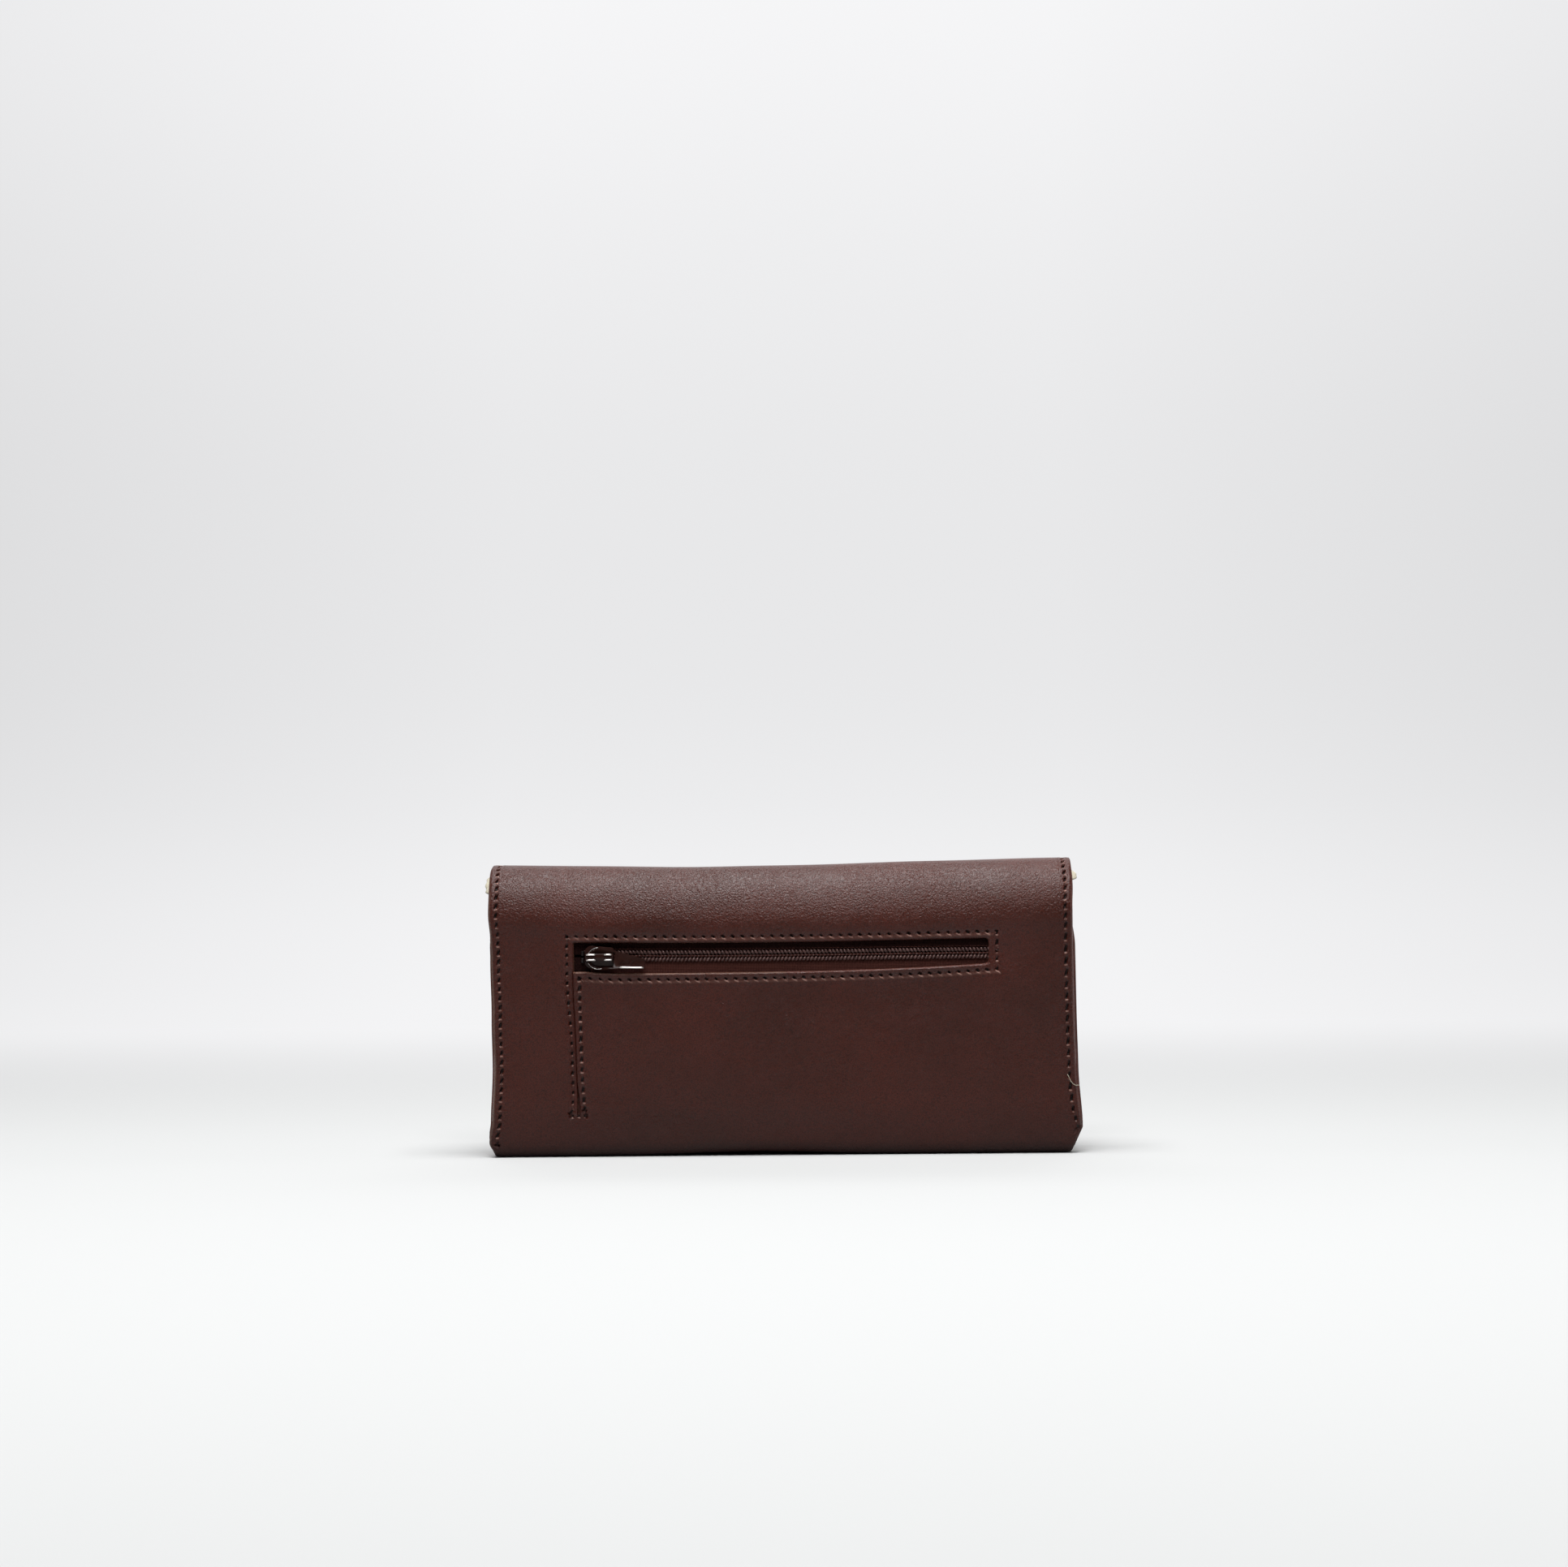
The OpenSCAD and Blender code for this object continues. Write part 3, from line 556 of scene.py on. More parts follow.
# how far a rounded edge has dropped at a distance from its rim
def rolled(distance, radius):
    d = np.clip(distance, 0, radius)
    return radius - np.sqrt(np.clip(radius ** 2 - (radius - d) ** 2, 0, None))


# distance inwards from an outline with straight sides and two round corners
def fromEdge(x, up, end, radius):
    toSide, toEnd = half - np.abs(x), end - up
    inCorner = (toSide < radius) & (toEnd < radius)
    corner = radius - np.hypot(radius - toSide, radius - toEnd)
    return np.where(inCorner, corner, np.minimum(toSide, toEnd))


# places across a panel, drawn in round its two corners: beyond "start" they share what the corner takes
def drawnIn(u, up, end, radius, start, wide=None):
    wide = half if wide is None else wide
    toEnd = np.clip(end - up, 0, radius)
    narrow = radius - np.sqrt(np.clip(radius ** 2 - (radius - toEnd) ** 2, 0, None))
    return np.sign(u) * (np.abs(u) - np.clip((np.abs(u) - start) / (wide - start), 0, 1) * narrow)


def fromFlapEdge(x, up):
    return fromEdge(x, up, flapLowRun, flapCorner)


def fromWindow(x, up):
    out = np.maximum(np.maximum(window["left"] - x, x - window["right"]), 0)
    over = np.maximum(np.maximum(window["lip"] - up, up - window["top"]), 0)
    inSlit = (up > window["slitFoot"] - 0.5) & (up < window["lip"] + 0.1)
    gap = np.maximum(np.maximum(window["left"] - x, x - window["left"] - window["slitWidth"]), 0)
    return np.hypot(out, over), np.where(inSlit, gap, 9)


# how much the rounded rims take off the skin's face
def skinDrop(x, up):
    toWindow, toSlit = fromWindow(x, up)
    onBack = up < foldZ
    onTop = smooth(foldZ + 2, foldZ + 14, up) * (1 - smooth(apexUp + 6, apexUp + 20, up))
    drop = rolled(fromFlapEdge(x, up), body["sideRound"] - body["topSharper"] * onTop)
    drop = np.maximum(drop, np.where(onBack, rolled(toWindow, window["rim"]), 0))
    return np.maximum(drop, np.where(onBack, rolled(toSlit, body["slitRound"]), 0))


# seams are lines of places on the skin: across, and unrolled height
def arc(x, up, radius, first, last, count=9):
    angles = np.radians(np.linspace(first, last, count))
    return [(x + radius * math.cos(a), up + radius * math.sin(a)) for a in angles]


off, inFrom = seam["fromWindow"], seam["fromSide"]
rightSeam = window["right"] + 2.8
topSeamUp, lipSeamUp = window["top"] + off, window["lip"] - off
tackUp = window["slitFoot"] - 0.9
backSeams = [
    ([(slitSeam, window["slitFoot"] + 0.4), (slitSeam, topSeamUp), (rightSeam, topSeamUp),
      (rightSeam, lipSeamUp), (cornerSeam, lipSeamUp), (cornerSeam, window["slitFoot"] + 1.2)],
     ["small", "flat", "up", "flat", "up"]),
    ([(slitSeam + 0.4, tackUp), (cornerSeam + 0.2, tackUp)], ["tack"]),
    ([(-half + inFrom, apexUp), (-half + inFrom, 4.5)], ["left"]),
    ([(half - inFrom - 0.3, apexUp), (half - inFrom, foldZ - 8), (half - inFrom, 14.5), (half - 1.2, 8.6)],
     ["left", "right", "corner"]),
]


# one seam round a panel's two round corners, from side to side
def roundSeam(start, end, radius, count):
    line = [(-half + inFrom, start)] + arc(-half + radius, end - radius, radius - inFrom, 180, 90, count)
    line += arc(half - radius, end - radius, radius - inFrom, 90, 0, count) + [(half - inFrom, start)]
    return [(line, ["up"] * (len(line) - 1))]


flapSeams = roundSeam(apexUp, flapLowRun, flapCorner, 9)
# the sunken holes of each kind of seam, and the lip below each hole: its place across and up, size and slope
holeColumns = ("long", "wide", "lean", "deep", "pitch", "lip", "slope")
holeKinds = {kind: dict(zip(holeColumns, values)) for kind, values in {
    "flat": (0.56, 0.37, -38, 0.62, 3.2, (0.25, -0.70, 0.78, 0.23), 0.45),
    "up": (0.90, 0.33, -14, 0.55, 3.3, (0.05, -1.12, 0.40, 0.22), 0),
    "left": (0.90, 0.33, -20, 0.55, 3.05, (0.05, -1.08, 0.44, 0.22), 0),
    "right": (1.15, 0.35, -16, 0.58, 3.65, (-0.05, -1.34, 0.48, 0.22), 0),
    "corner": (0.75, 0.38, -10, 0.5, 2.7, (0.1, -0.9, 0.3, 0.15), 0),
    "small": (0.60, 0.34, -16, 0.5, 3.25, (0.1, -0.75, 0.3, 0.14), 0),
    "tack": (0.75, 0.42, -10, 0.6, 2.2, (0.1, -0.55, 0.4, 0.14), 0),
}.items()}


def troughDepth(x, up, seams):
    depth = np.zeros_like(x)
    for line, kinds in seams:
        for a, b in zip(line[:-1], line[1:]):
            ab = np.array(b) - np.array(a)
            t = np.clip(((x - a[0]) * ab[0] + (up - a[1]) * ab[1]) / (ab @ ab), 0, 1)
            d = np.hypot(x - a[0] - t * ab[0], up - a[1] - t * ab[1])
            depth = np.maximum(depth, seam["trough"] * (1 - smooth(0.7, 1.05, d)))
    return depth


# one straight leg of a seam: its places, height, hole (its shape, and the painted shade in it), lip (its
# rise, and the painted highlight on it), the cells that stay, and its stitches
def stitchLeg(a, b, before, after, kind):
    shape = holeKinds[kind]
    a, b = np.array(a, float), np.array(b, float)
    length = float(np.hypot(*(b - a)))
    direction = (b - a) / length
    normal = np.array([-direction[1], direction[0]])
    reachA, reachB = (0.0 if other is None else 1.6 for other in (before, after))
    steps = max(3, int(round((length + reachA + reachB) / seam["step"])) + 1)
    t = np.linspace(-reachA, length + reachB, steps)
    oneSide = [0.14, 0.28, 0.42, 0.56, 0.72, 0.9, 1.1, 1.3, 1.5]
    across = np.array([-v for v in oneSide[::-1]] + [0] + oneSide)
    tt, v = np.meshgrid(t, across, indexing="ij")
    x = a[0] + direction[0] * tt + normal[0] * v
    up = a[1] + direction[1] * tt + normal[1] * v
    count = max(1, int(round(length / shape["pitch"])))
    pitch = length / count
    nearest = np.clip(np.round(tt / pitch), 0, count)
    jitter = 0.10 * np.sin(nearest * 12.9898 + a[1]) * (nearest > 0) * (nearest < count)
    grow = 1 + 0.13 * np.sin(nearest * 7.31 + a[0])
    along = tt - nearest * pitch - jitter
    lean = math.radians(shape["lean"])
    p = (along * math.cos(lean) + v * math.sin(lean)) / shape["long"] / grow
    q = (-along * math.sin(lean) + v * math.cos(lean)) / shape["wide"] / grow
    hole = np.exp(-(p ** 4 + q ** 4))
    ring = np.exp(-((np.hypot(p, q) - 1.5) / 0.4) ** 2)
    fade = smooth(1.35, 0.8, np.abs(v))
    sunk = -seam["pull"] * np.exp(-(v / 0.6) ** 2) * (0.7 + 0.3 * np.cos(2 * math.pi * tt / pitch))
    lipX, lipUp, lipWide, lipThin = shape["lip"]
    offX, offUp = along * direction[0] + v * normal[0], along * direction[1] + v * normal[1]
    leaning = offUp - lipUp + shape["slope"] * (offX - lipX)
    lip = np.exp(-((offX - lipX) / lipWide) ** 4 - (leaning / lipThin) ** 2)
    lip = lip * (0.7 + 0.3 * np.sin(nearest * 4.7 + b[0]))
    height = fade * (sunk + 0.05 * ring + 0.14 * lip) - shape["deep"] * hole + 0.02
    if kind == "flat":
        lip = lip + 0.12 * np.exp(-((offUp + 0.85) / 0.45) ** 2)   # a painted highlight band below a level seam
    keep = np.ones((len(t) - 1, len(across) - 1), bool)
    midX, midUp = (x[1:, 1:] + x[:-1, :-1]) / 2, (up[1:, 1:] + up[:-1, :-1]) / 2
    for corner, other, sign in ((a, before, 1), (b, after, -1)):
        if other is not None:
            heading = direction + np.array(other)
            keep &= sign * ((midX - corner[0]) * heading[0] + (midUp - corner[1]) * heading[1]) >= -0.08
    keep &= np.abs(midX) < half - 0.12
    ends = []
    for middle in (np.arange(count) + 0.5) * pitch:
        reach = min(0.85, 0.31 * pitch)
        ends.append([a + direction * (middle + way * reach) + normal * 0.12 * way for way in (-1, 1)])
    return x, up, height, hole, lip, keep, np.array(ends)


# turns a grid's faces so that they look along the given directions
def facingOut(points, faces, axis):
    p = points[faces]
    normal = np.cross(p[:, 2] - p[:, 0], p[:, 3] - p[:, 1])
    wrong = np.einsum("ij,ij->i", normal, axis(p.mean(1))) < 0
    faces[wrong] = faces[wrong][:, ::-1]
    return faces


def outOfSkin(p):
    direction = np.zeros_like(p)
    direction[:, 1] = -1
    folded = p[:, 2] > foldZ
    direction[folded, 1] = p[folded, 1] - backY - foldRadius
    direction[folded, 2] = p[folded, 2] - foldZ
    direction[(p[:, 1] > backY + foldRadius) & ~folded, 1] = 1
    return direction


def outOfFront(p):
    return np.tile([0, 1.0, 0], (len(p), 1))


# strips of pierced leather along some seams, and a plump thread for each stitch
def sewn(name, seams, place, drop, axis):
    points, faces, holes, lips, stitches, total = [], [], [], [], [], 0
    for line, kinds in seams:
        headings = [np.array(b, float) - np.array(a, float) for a, b in zip(line[:-1], line[1:])]
        headings = [None] + [h / np.hypot(*h) for h in headings] + [None]
        for i, kind in enumerate(kinds):
            x, up, height, hole, lip, keep, ends = stitchLeg(
                line[i], line[i + 1], headings[i], headings[i + 2], kind)
            points.append(place(x, up, height - drop(x, up)).reshape(-1, 3))
            index = total + np.arange(x.size).reshape(x.shape)
            cells = np.stack([index[:-1, :-1], index[:-1, 1:], index[1:, 1:], index[1:, :-1]], -1)
            faces.append(cells[keep])
            holes.append(hole.reshape(-1))
            lips.append(lip.reshape(-1))
            total += x.size
            depth = -seam["threadDepth"] - drop(ends[..., 0], ends[..., 1])
            low, high = (place(ends[..., 0], ends[..., 1], depth + rise) for rise in (0, 0.5))
            stitches.append(np.concatenate([low, (high - low).mean(1, keepdims=True)], 1))
    points = np.concatenate(points)
    used, faces = onlyUsed(points, facingOut(points, np.concatenate(faces), axis))
    strips = meshMm(name + "Seams", points[used], faces, [seamLeather])
    for mark, values in (("hole", holes), ("lip", lips)):
        field = strips.data.attributes.new(mark, "FLOAT", "POINT")
        field.data.foreach_set("value", np.concatenate(values)[used].astype(np.float32))
    return strips, threads(name + "Threads", np.concatenate(stitches))


# points and faces of a round tube along a path, closed at its ends
def tube(path, radius, sides, flat=1.0):
    path = np.array(path, float)
    along = np.gradient(path, axis=0)
    along /= np.linalg.norm(along, axis=1)[:, None]
    one = np.cross(along, np.array([0, 1.0, 0.02]))
    one /= np.linalg.norm(one, axis=1)[:, None]
    two = np.cross(along, one)
    radius = np.broadcast_to(radius, len(path))
    angles = np.arange(sides) * 2 * math.pi / sides
    cos, sin = np.cos(angles)[None, :, None], np.sin(angles)[None, :, None]
    ring = cos * one[:, None, :] + flat * sin * two[:, None, :]
    points = path[:, None, :] + ring * radius[:, None, None]
    index = np.arange(len(path) * sides).reshape(len(path), sides)
    after = np.roll(index, -1, axis=1)
    faces = [list(f) for f in np.stack([index[:-1], index[1:], after[1:], after[:-1]], -1).reshape(-1, 4)]
    return points.reshape(-1, 3), faces + [list(index[0]), list(index[-1][::-1])]


# several tubes as one mesh
def tubes(name, paths, radii, material):
    points, faces = [], []
    for path, radius in zip(paths, radii):
        tubePoints, tubeFaces = tube(path, radius, 8)
        faces += [[i + len(points) for i in face] for face in tubeFaces]
        points += tubePoints.tolist()
    return meshMm(name, points, faces, [material])


# a small shape on each place (mm), turned by its Euler angles, as one mesh made by Geometry Nodes
def repeated(name, shape, places, turns, material):
    template = meshMm(name + "One", *shape, [material])
    host = bpy.data.meshes.new(name + "Points")
    host.from_pydata((np.asarray(places) * 0.001).tolist(), [], [])
    turn = host.attributes.new("turn", "FLOAT_VECTOR", "POINT")
    turn.data.foreach_set("vector", np.asarray(turns, np.float32).reshape(-1))
    carrier = linked(name + "Points", host)
    tree = bpy.data.node_groups.new(name + "Repeat", "GeometryNodeTree")
    keys = {}
    for label, kind in (("Geometry", "Geometry"), ("Template", "Object"), ("Material", "Material")):
        socket = tree.interface.new_socket(label, in_out="INPUT", socket_type="NodeSocket" + kind)
        keys[label] = socket.identifier
    tree.interface.new_socket("Geometry", in_out="OUTPUT", socket_type="NodeSocketGeometry")
    inputs, outputs, info, named, euler, place, real, paint = (tree.nodes.new(kind) for kind in (
        "NodeGroupInput", "NodeGroupOutput", "GeometryNodeObjectInfo", "GeometryNodeInputNamedAttribute",
        "FunctionNodeEulerToRotation", "GeometryNodeInstanceOnPoints", "GeometryNodeRealizeInstances",
        "GeometryNodeSetMaterial"))
    named.data_type = "FLOAT_VECTOR"
    named.inputs["Name"].default_value = "turn"
    for source, target in (
            (inputs.outputs["Template"], info.inputs["Object"]),
            (inputs.outputs["Geometry"], place.inputs["Points"]),
            (info.outputs["Geometry"], place.inputs["Instance"]),
            (named.outputs["Attribute"], euler.inputs[0]),
            (euler.outputs[0], place.inputs["Rotation"]),
            (place.outputs[0], real.inputs[0]),
            (real.outputs[0], paint.inputs["Geometry"]),
            (inputs.outputs["Material"], paint.inputs["Material"]),
            (paint.outputs[0], outputs.inputs[0])):
        tree.links.new(source, target)
    modifier = carrier.modifiers.new("repeat", "NODES")
    modifier.node_group = tree
    modifier[keys["Template"]] = template
    modifier[keys["Material"]] = material
    bpy.context.view_layer.update()
    evaluated = carrier.evaluated_get(bpy.context.evaluated_depsgraph_get())
    mesh = bpy.data.meshes.new_from_object(evaluated)
    mesh.name = name
    mesh.materials.clear()
    mesh.materials.append(material)
    mesh.polygons.foreach_set("material_index", np.zeros(len(mesh.polygons), np.int32))
    smoothFaces(mesh)
    for spare in (carrier, template):
        bpy.data.objects.remove(spare, do_unlink=True)
    return linked(name, mesh)


# Euler angles that put X along a line and Z out of the surface
def turnFrom(along, out):
    x = Vector(along).normalized()
    y = Vector(out).cross(x).normalized()
    return Matrix((x, y, x.cross(y))).transposed().to_euler()


# a plump thread for each stitch, sinking at both ends
def threads(name, stitches):
    size = float(np.median(np.linalg.norm(stitches[:, 1] - stitches[:, 0], axis=1)))
    bow = np.linspace(-1, 1, 7)
    path = [(t * size * 0.5, 0, 0.14 * (1 - t * t) - 0.30 * abs(t) ** 5) for t in bow]
    shape = tube(path, [seam["threadRadius"] * (1 - 0.45 * abs(t) ** 3) for t in bow], 6)
    turns = [turnFrom(s[1] - s[0], s[2]) for s in stitches]
    return repeated(name, shape, stitches[:, :2].mean(1), turns, threadBrown)


def blendUp(piece):
    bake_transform(piece)


def backToFold(piece):
    blendUp(piece)


def foldToFlap(piece):
    blendUp(piece)


def backToFront(piece):
    blendUp(piece)


# what a finished piece moves with, its material slot (not used) and the nodes it stands for
def settle(piece, ride, slot, *nodes):
    if callable(ride):
        ride(piece)
    else:
        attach(piece, ride)
    if nodes:
        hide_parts(*nodes)


# grid stops on both sides of some seams
def around(*places):
    return [place + side * seam["reach"] for place in places for side in (-1, 1)]


def middles(grid):
    return (grid[1:, 1:] + grid[:-1, :-1]) / 2


# base, back and the rear half of the top fold in one piece of leather
def backSkin():
    left, right, lip, top = window["left"], window["right"], window["lip"], window["top"]
    slitRight = left + window["slitWidth"]
    xs = gridLines(
        [-half] + around(-half + inFrom, slitSeam) + [left, slitRight] + around(cornerSeam) + [right]
        + around(rightSeam, half - inFrom) + [half], 1.7, 0.2)
    ups = gridLines(
        [-runAt(0), flatRun - runAt(0), baseBend] + around(tackUp, lipSeamUp) + [lip, top]
        + around(topSeamUp) + [foldZ, apexUp], 1.7, 0.2)
    x, up = np.meshgrid(xs, ups)
    mx, mUp = middles(x), middles(up)
    inWindow = (mx > left) & (mx < right) & (mUp > lip) & (mUp < top)
    inSlit = (mx > left) & (mx < slitRight) & (mUp > window["slitFoot"]) & (mUp < lip + 0.1)
    drop = skinDrop(x, up)
    outer = skinPoint(x, up, 0.0, -drop - troughDepth(x, up, backSeams))
    thick = backThick + (foldThick - backThick) * smooth(foldZ - 6, foldZ, up)
    toWindow, toSlit = fromWindow(x, up)
    thin = np.maximum(rolled(half - np.abs(x), 0.35), np.maximum(rolled(toWindow, 0.45), rolled(toSlit, 0.4)))
    inner = skinPoint(x, up, thick - thin - 0.02)
    piece = shell("backSkin", outer, inner, [outerLeather, edgePaint], ~(inWindow | inSlit))
    addTint(piece, x, up, outer, inner, drop)
    settle(piece, backToFold, "outer_leather", "back_panel", "base_panel", "top_fold")


# marks the leather's redder, lighter rims: partly edge wear, partly painted highlight, most of all a painted
# highlight line along the pocket's lip and the slit's edge
def addTint(piece, x, up, outer, inner, drop):
    slitRight, lip = window["left"] + window["slitWidth"], window["lip"]
    frayed = bump(slitRight + 0.7, 1.5, x) * bump(lip - 0.3, 0.9, up)
    onPocket = (x > slitRight - 0.05) * (up < lip + 0.05)
    # painted highlight along the pocket's lip and the slit's edge, where the rounded edge would catch the
    # light
    wearAndHighlight = 0.75 * bump(lip - 0.1, 0.4, up) * (x < window["right"])
    wearAndHighlight = np.maximum(wearAndHighlight, 0.35 * bump(slitRight, 0.9, x) * (up > window["slitFoot"] + 2))
    tint = np.maximum(smooth(0.1, 0.6, drop), np.maximum(frayed, wearAndHighlight) * onPocket)
    values = np.concatenate([tint.reshape(-1), np.zeros(tint.size)])
    places = np.concatenate([outer.reshape(-1, 3), inner.reshape(-1, 3)]) * 0.001
    kept = np.zeros(len(piece.data.vertices) * 3)
    piece.data.vertices.foreach_get("co", kept)
    keys = {tuple(p): v for p, v in zip(np.round(places, 7).tolist(), values)}
    rims = [keys.get(tuple(p), 0.0) for p in np.round(kept.reshape(-1, 3), 7).tolist()]
    field = piece.data.attributes.new("rim", "FLOAT", "POINT")
    field.data.foreach_set("value", np.array(rims, np.float32))


sideStops = [-half] + around(-half + inFrom, half - inFrom) + [half]


# front half of the top fold and the flap, in one piece with round low corners
def flapSkin():
    xs = gridLines(sideStops, 1.6, 0.2)
    ups = gridLines([apexUp, foldRun - runAt(0)] + around(flapLowRun - inFrom) + [flapLowRun], 1.6, 0.2)
    u, up = np.meshgrid(xs, ups)
    x = drawnIn(u, up, flapLowRun, flapCorner, 60)
    drop = skinDrop(x, up)
    outer = skinPoint(x, up, 0.0, -drop - troughDepth(x, up, flapSeams))
    inner = skinPoint(x, up, foldThick - rolled(fromFlapEdge(x, up), 0.35) - 0.02)
    piece = shell("flapSkin", outer, inner, [outerLeather, edgePaint])
    addTint(piece, x, up, outer, inner, drop)
    settle(piece, foldToFlap, "outer_leather", "flap_leather")


def onSkin(x, up, height):
    return skinPoint(x, up, 0.0, height)


backSkin()
flapSkin()
for name, seams, blend in (("back", backSeams, backToFold), ("flap", flapSeams, foldToFlap)):
    for piece in sewn(name, seams, onSkin, skinDrop, outOfSkin):
        settle(piece, blend, "outer_leather")
print("skin and seams made")

# front: the base's other half, bent up to the front's top edge
frontBend = frontLow[2] - 0.3
frontTop = frontHigh[2]
frontFlat = frontFaceY - frontBend
frontUp0 = frontFlat + math.pi / 2 * frontBend - frontBend
frontCorner = 6.0
frontSeams = roundSeam(4.5, frontTop, frontCorner, 6)


# a point of the front; its unrolled height goes on below zero along the base
def frontPoint(x, up, depth, height=0.0):
    s = up + frontUp0
    angle = np.clip((s - frontFlat) / frontBend, 0, math.pi / 2)
    radius = frontBend - depth + height
    y = np.minimum(s, frontFlat) + radius * np.sin(angle)
    z = frontBend - radius * np.cos(angle) + np.clip(up - frontBend, 0, None)
    puffed = 0.3 * np.sin(x / 27 + 1) * np.sin(up / 21) * smooth(4, 20, up) * (np.asarray(depth) < 0.3)
    toSide = sideAt(z) - half - cornerCut(z, 2.0)
    px = x + np.sign(x) * toSide * smooth(70, half, np.abs(x))
    return np.stack([px, y + puffed * 0.4, np.maximum(z, 0.01)], -1)


def fromFrontEdge(x, up):
    return fromEdge(x, up, frontTop, frontCorner)


def frontDrop(x, up):
    return rolled(fromFrontEdge(x, up), 0.65)


def onFront(x, up, height):
    return frontPoint(x, up, 0.0, height)


def frontSkin():
    xs = gridLines(sideStops, 1.8, 0.2)
    ups = gridLines(
        [-frontUp0, frontFlat - frontUp0, frontBend] + around(frontTop - inFrom) + [frontTop], 1.8, 0.2)
    u, up = np.meshgrid(xs, ups)
    x = drawnIn(u, up, frontTop, frontCorner, 70)
    outer = onFront(x, up, -frontDrop(x, up) - troughDepth(x, up, frontSeams))
    thick = foldThick + (backThick - foldThick) * (1 - smooth(frontBend - 2.5, frontBend + 1, up))
    inner = frontPoint(x, up, thick - rolled(fromFrontEdge(x, up), 0.35) - 0.02)
    piece = shell("frontSkin", outer, inner, [outerLeather, edgePaint], flip=True)
    settle(piece, backToFront, "outer_leather", "front_leather")


frontSkin()
for piece in sewn("front", frontSeams, onFront, frontDrop, outOfFront):
    settle(piece, backToFront, "outer_leather")
print("front made")


# a grid over a rectangle, with each point's distance from its edge; steps are (widest, finest) each way
def rectangle(firstStops, secondStops, firstSteps, secondSteps):
    a, b = np.meshgrid(gridLines(firstStops, *firstSteps), gridLines(secondStops, *secondSteps))
    toSide = np.minimum(a - firstStops[0], firstStops[-1] - a)
    toEnd = np.minimum(b - secondStops[0], secondStops[-1] - b)
    return a, b, np.minimum(toSide, toEnd)


# a sheet standing in X and Z, between two depths
def upright(name, x, z, near, far, materials):
    return shell(name, np.stack([x, near + 0 * x, z], -1), np.stack([x, far + 0 * x, z], -1), materials)


# a rounded copy of a CAD node: welded, its flat faces joined and its edges bevelled
def softenedCopy(name, node, width, material):
    bm = bmesh.new()
    bm.from_mesh(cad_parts[node].data)
    bmesh.ops.remove_doubles(bm, verts=bm.verts, dist=2e-6)
    bmesh.ops.dissolve_limit(bm, angle_limit=math.radians(1.5), verts=bm.verts, edges=bm.edges)
    sharp = [e for e in bm.edges if len(e.link_faces) == 2 and e.calc_face_angle(0) > math.radians(28)]
    bmesh.ops.bevel(
        bm, geom=sharp, offset=width * 0.001, offset_type="OFFSET", segments=2, profile=0.5, affect="EDGES",
        clamp_overlap=True)
    bmesh.ops.triangulate(bm, faces=[f for f in bm.faces if len(f.verts) > 4])
    bmesh.ops.recalc_face_normals(bm, faces=bm.faces)
    mesh = bpy.data.meshes.new(name)
    bm.to_mesh(mesh)
    bm.free()
    mesh.materials.append(material)
    smoothFaces(mesh)
    mesh.set_sharp_from_angle(angle=math.radians(35))
    return linked(name, mesh)


# linings
lining = {
    "thick": 0.5, "backDepth": 8.1, "inset": 1.5, "hem": 0.2,
    # how far the cut edge peeps out of each top corner, between which heights, and how raggedly
    "peeps": {
        -1: {"out": 1.2, "rise": (85.8, 88.4), "fall": (92.4, 95.0), "ragged": 0.25},
        1: {"out": 1.6, "rise": (88.4, 90.4), "fall": (92.0, 93.8), "ragged": 0}},
}
foldLiningDepth = foldThick + 0.05
foldEndUp = foldRun - runAt(0)
acrossStops = ([-1, -0.87, 0.87, 1], 0.02, 0.006)


# the back's lining lies behind the zip pocket in the middle, and flat at the sides and under the fold
def liningDepth(x, up):
    inner = half - lining["inset"] - 10
    middle = 1 - smooth(inner - 4, inner, np.abs(x))
    low = backThick + 0.02 + (lining["backDepth"] - backThick) * middle
    return low + (foldLiningDepth - low) * smooth(71, foldZ - 1.5, up)


# where the lining's cut edge runs
def liningSide(up, side):
    z = skinHeight(up)
    corner = lining["peeps"][side]
    peep = (corner["out"] + lining["inset"]) * smooth(*corner["rise"], z) * (1 - smooth(*corner["fall"], z))
    peep = peep + corner["ragged"] * np.sin(z * 2.1) * smooth(86, 88, z) * (1 - smooth(92, 94, z))
    peep = peep * (1 - smooth(apexUp - 4, apexUp, up))
    return half - lining["inset"] + peep - 0.8 * (1 - smooth(3, 9, z))


def liningBack():
    ups = gridLines([2.3, 12, 71, foldZ, 86, 88, 90, 92, 94, 96, 98, apexUp], 1.8, 0.35, 0.3)
    u, up = np.meshgrid(gridLines(*acrossStops), ups)
    reach = np.where(u < 0, liningSide(up, -1), liningSide(up, 1))
    x = u * reach
    depth = liningDepth(x, up)
    sag = 0.10 * np.sin(x / 8 + up / 5) * np.sin(up / 6.5) * (1 - smooth(60, 74, up)) * smooth(4, 12, up)
    beyond = np.clip(np.abs(x) - half + 0.3, 0, None)
    px = sideMove(x, up)

    def point(d):
        y, z = skinPath(runAt(up), d + sag + 0.25 * beyond)
        return np.stack([px, y + foldEase(px, runAt(up)), z + topSag(px, z)], -1)

    drop = rolled(reach - np.abs(x), lining["hem"])
    piece = shell("liningBack", point(depth + drop), point(depth + lining["thick"] - drop), [creamCloth])
    settle(piece, backToFold, "lining_cloth", "back_lining", "top_fold_lining")


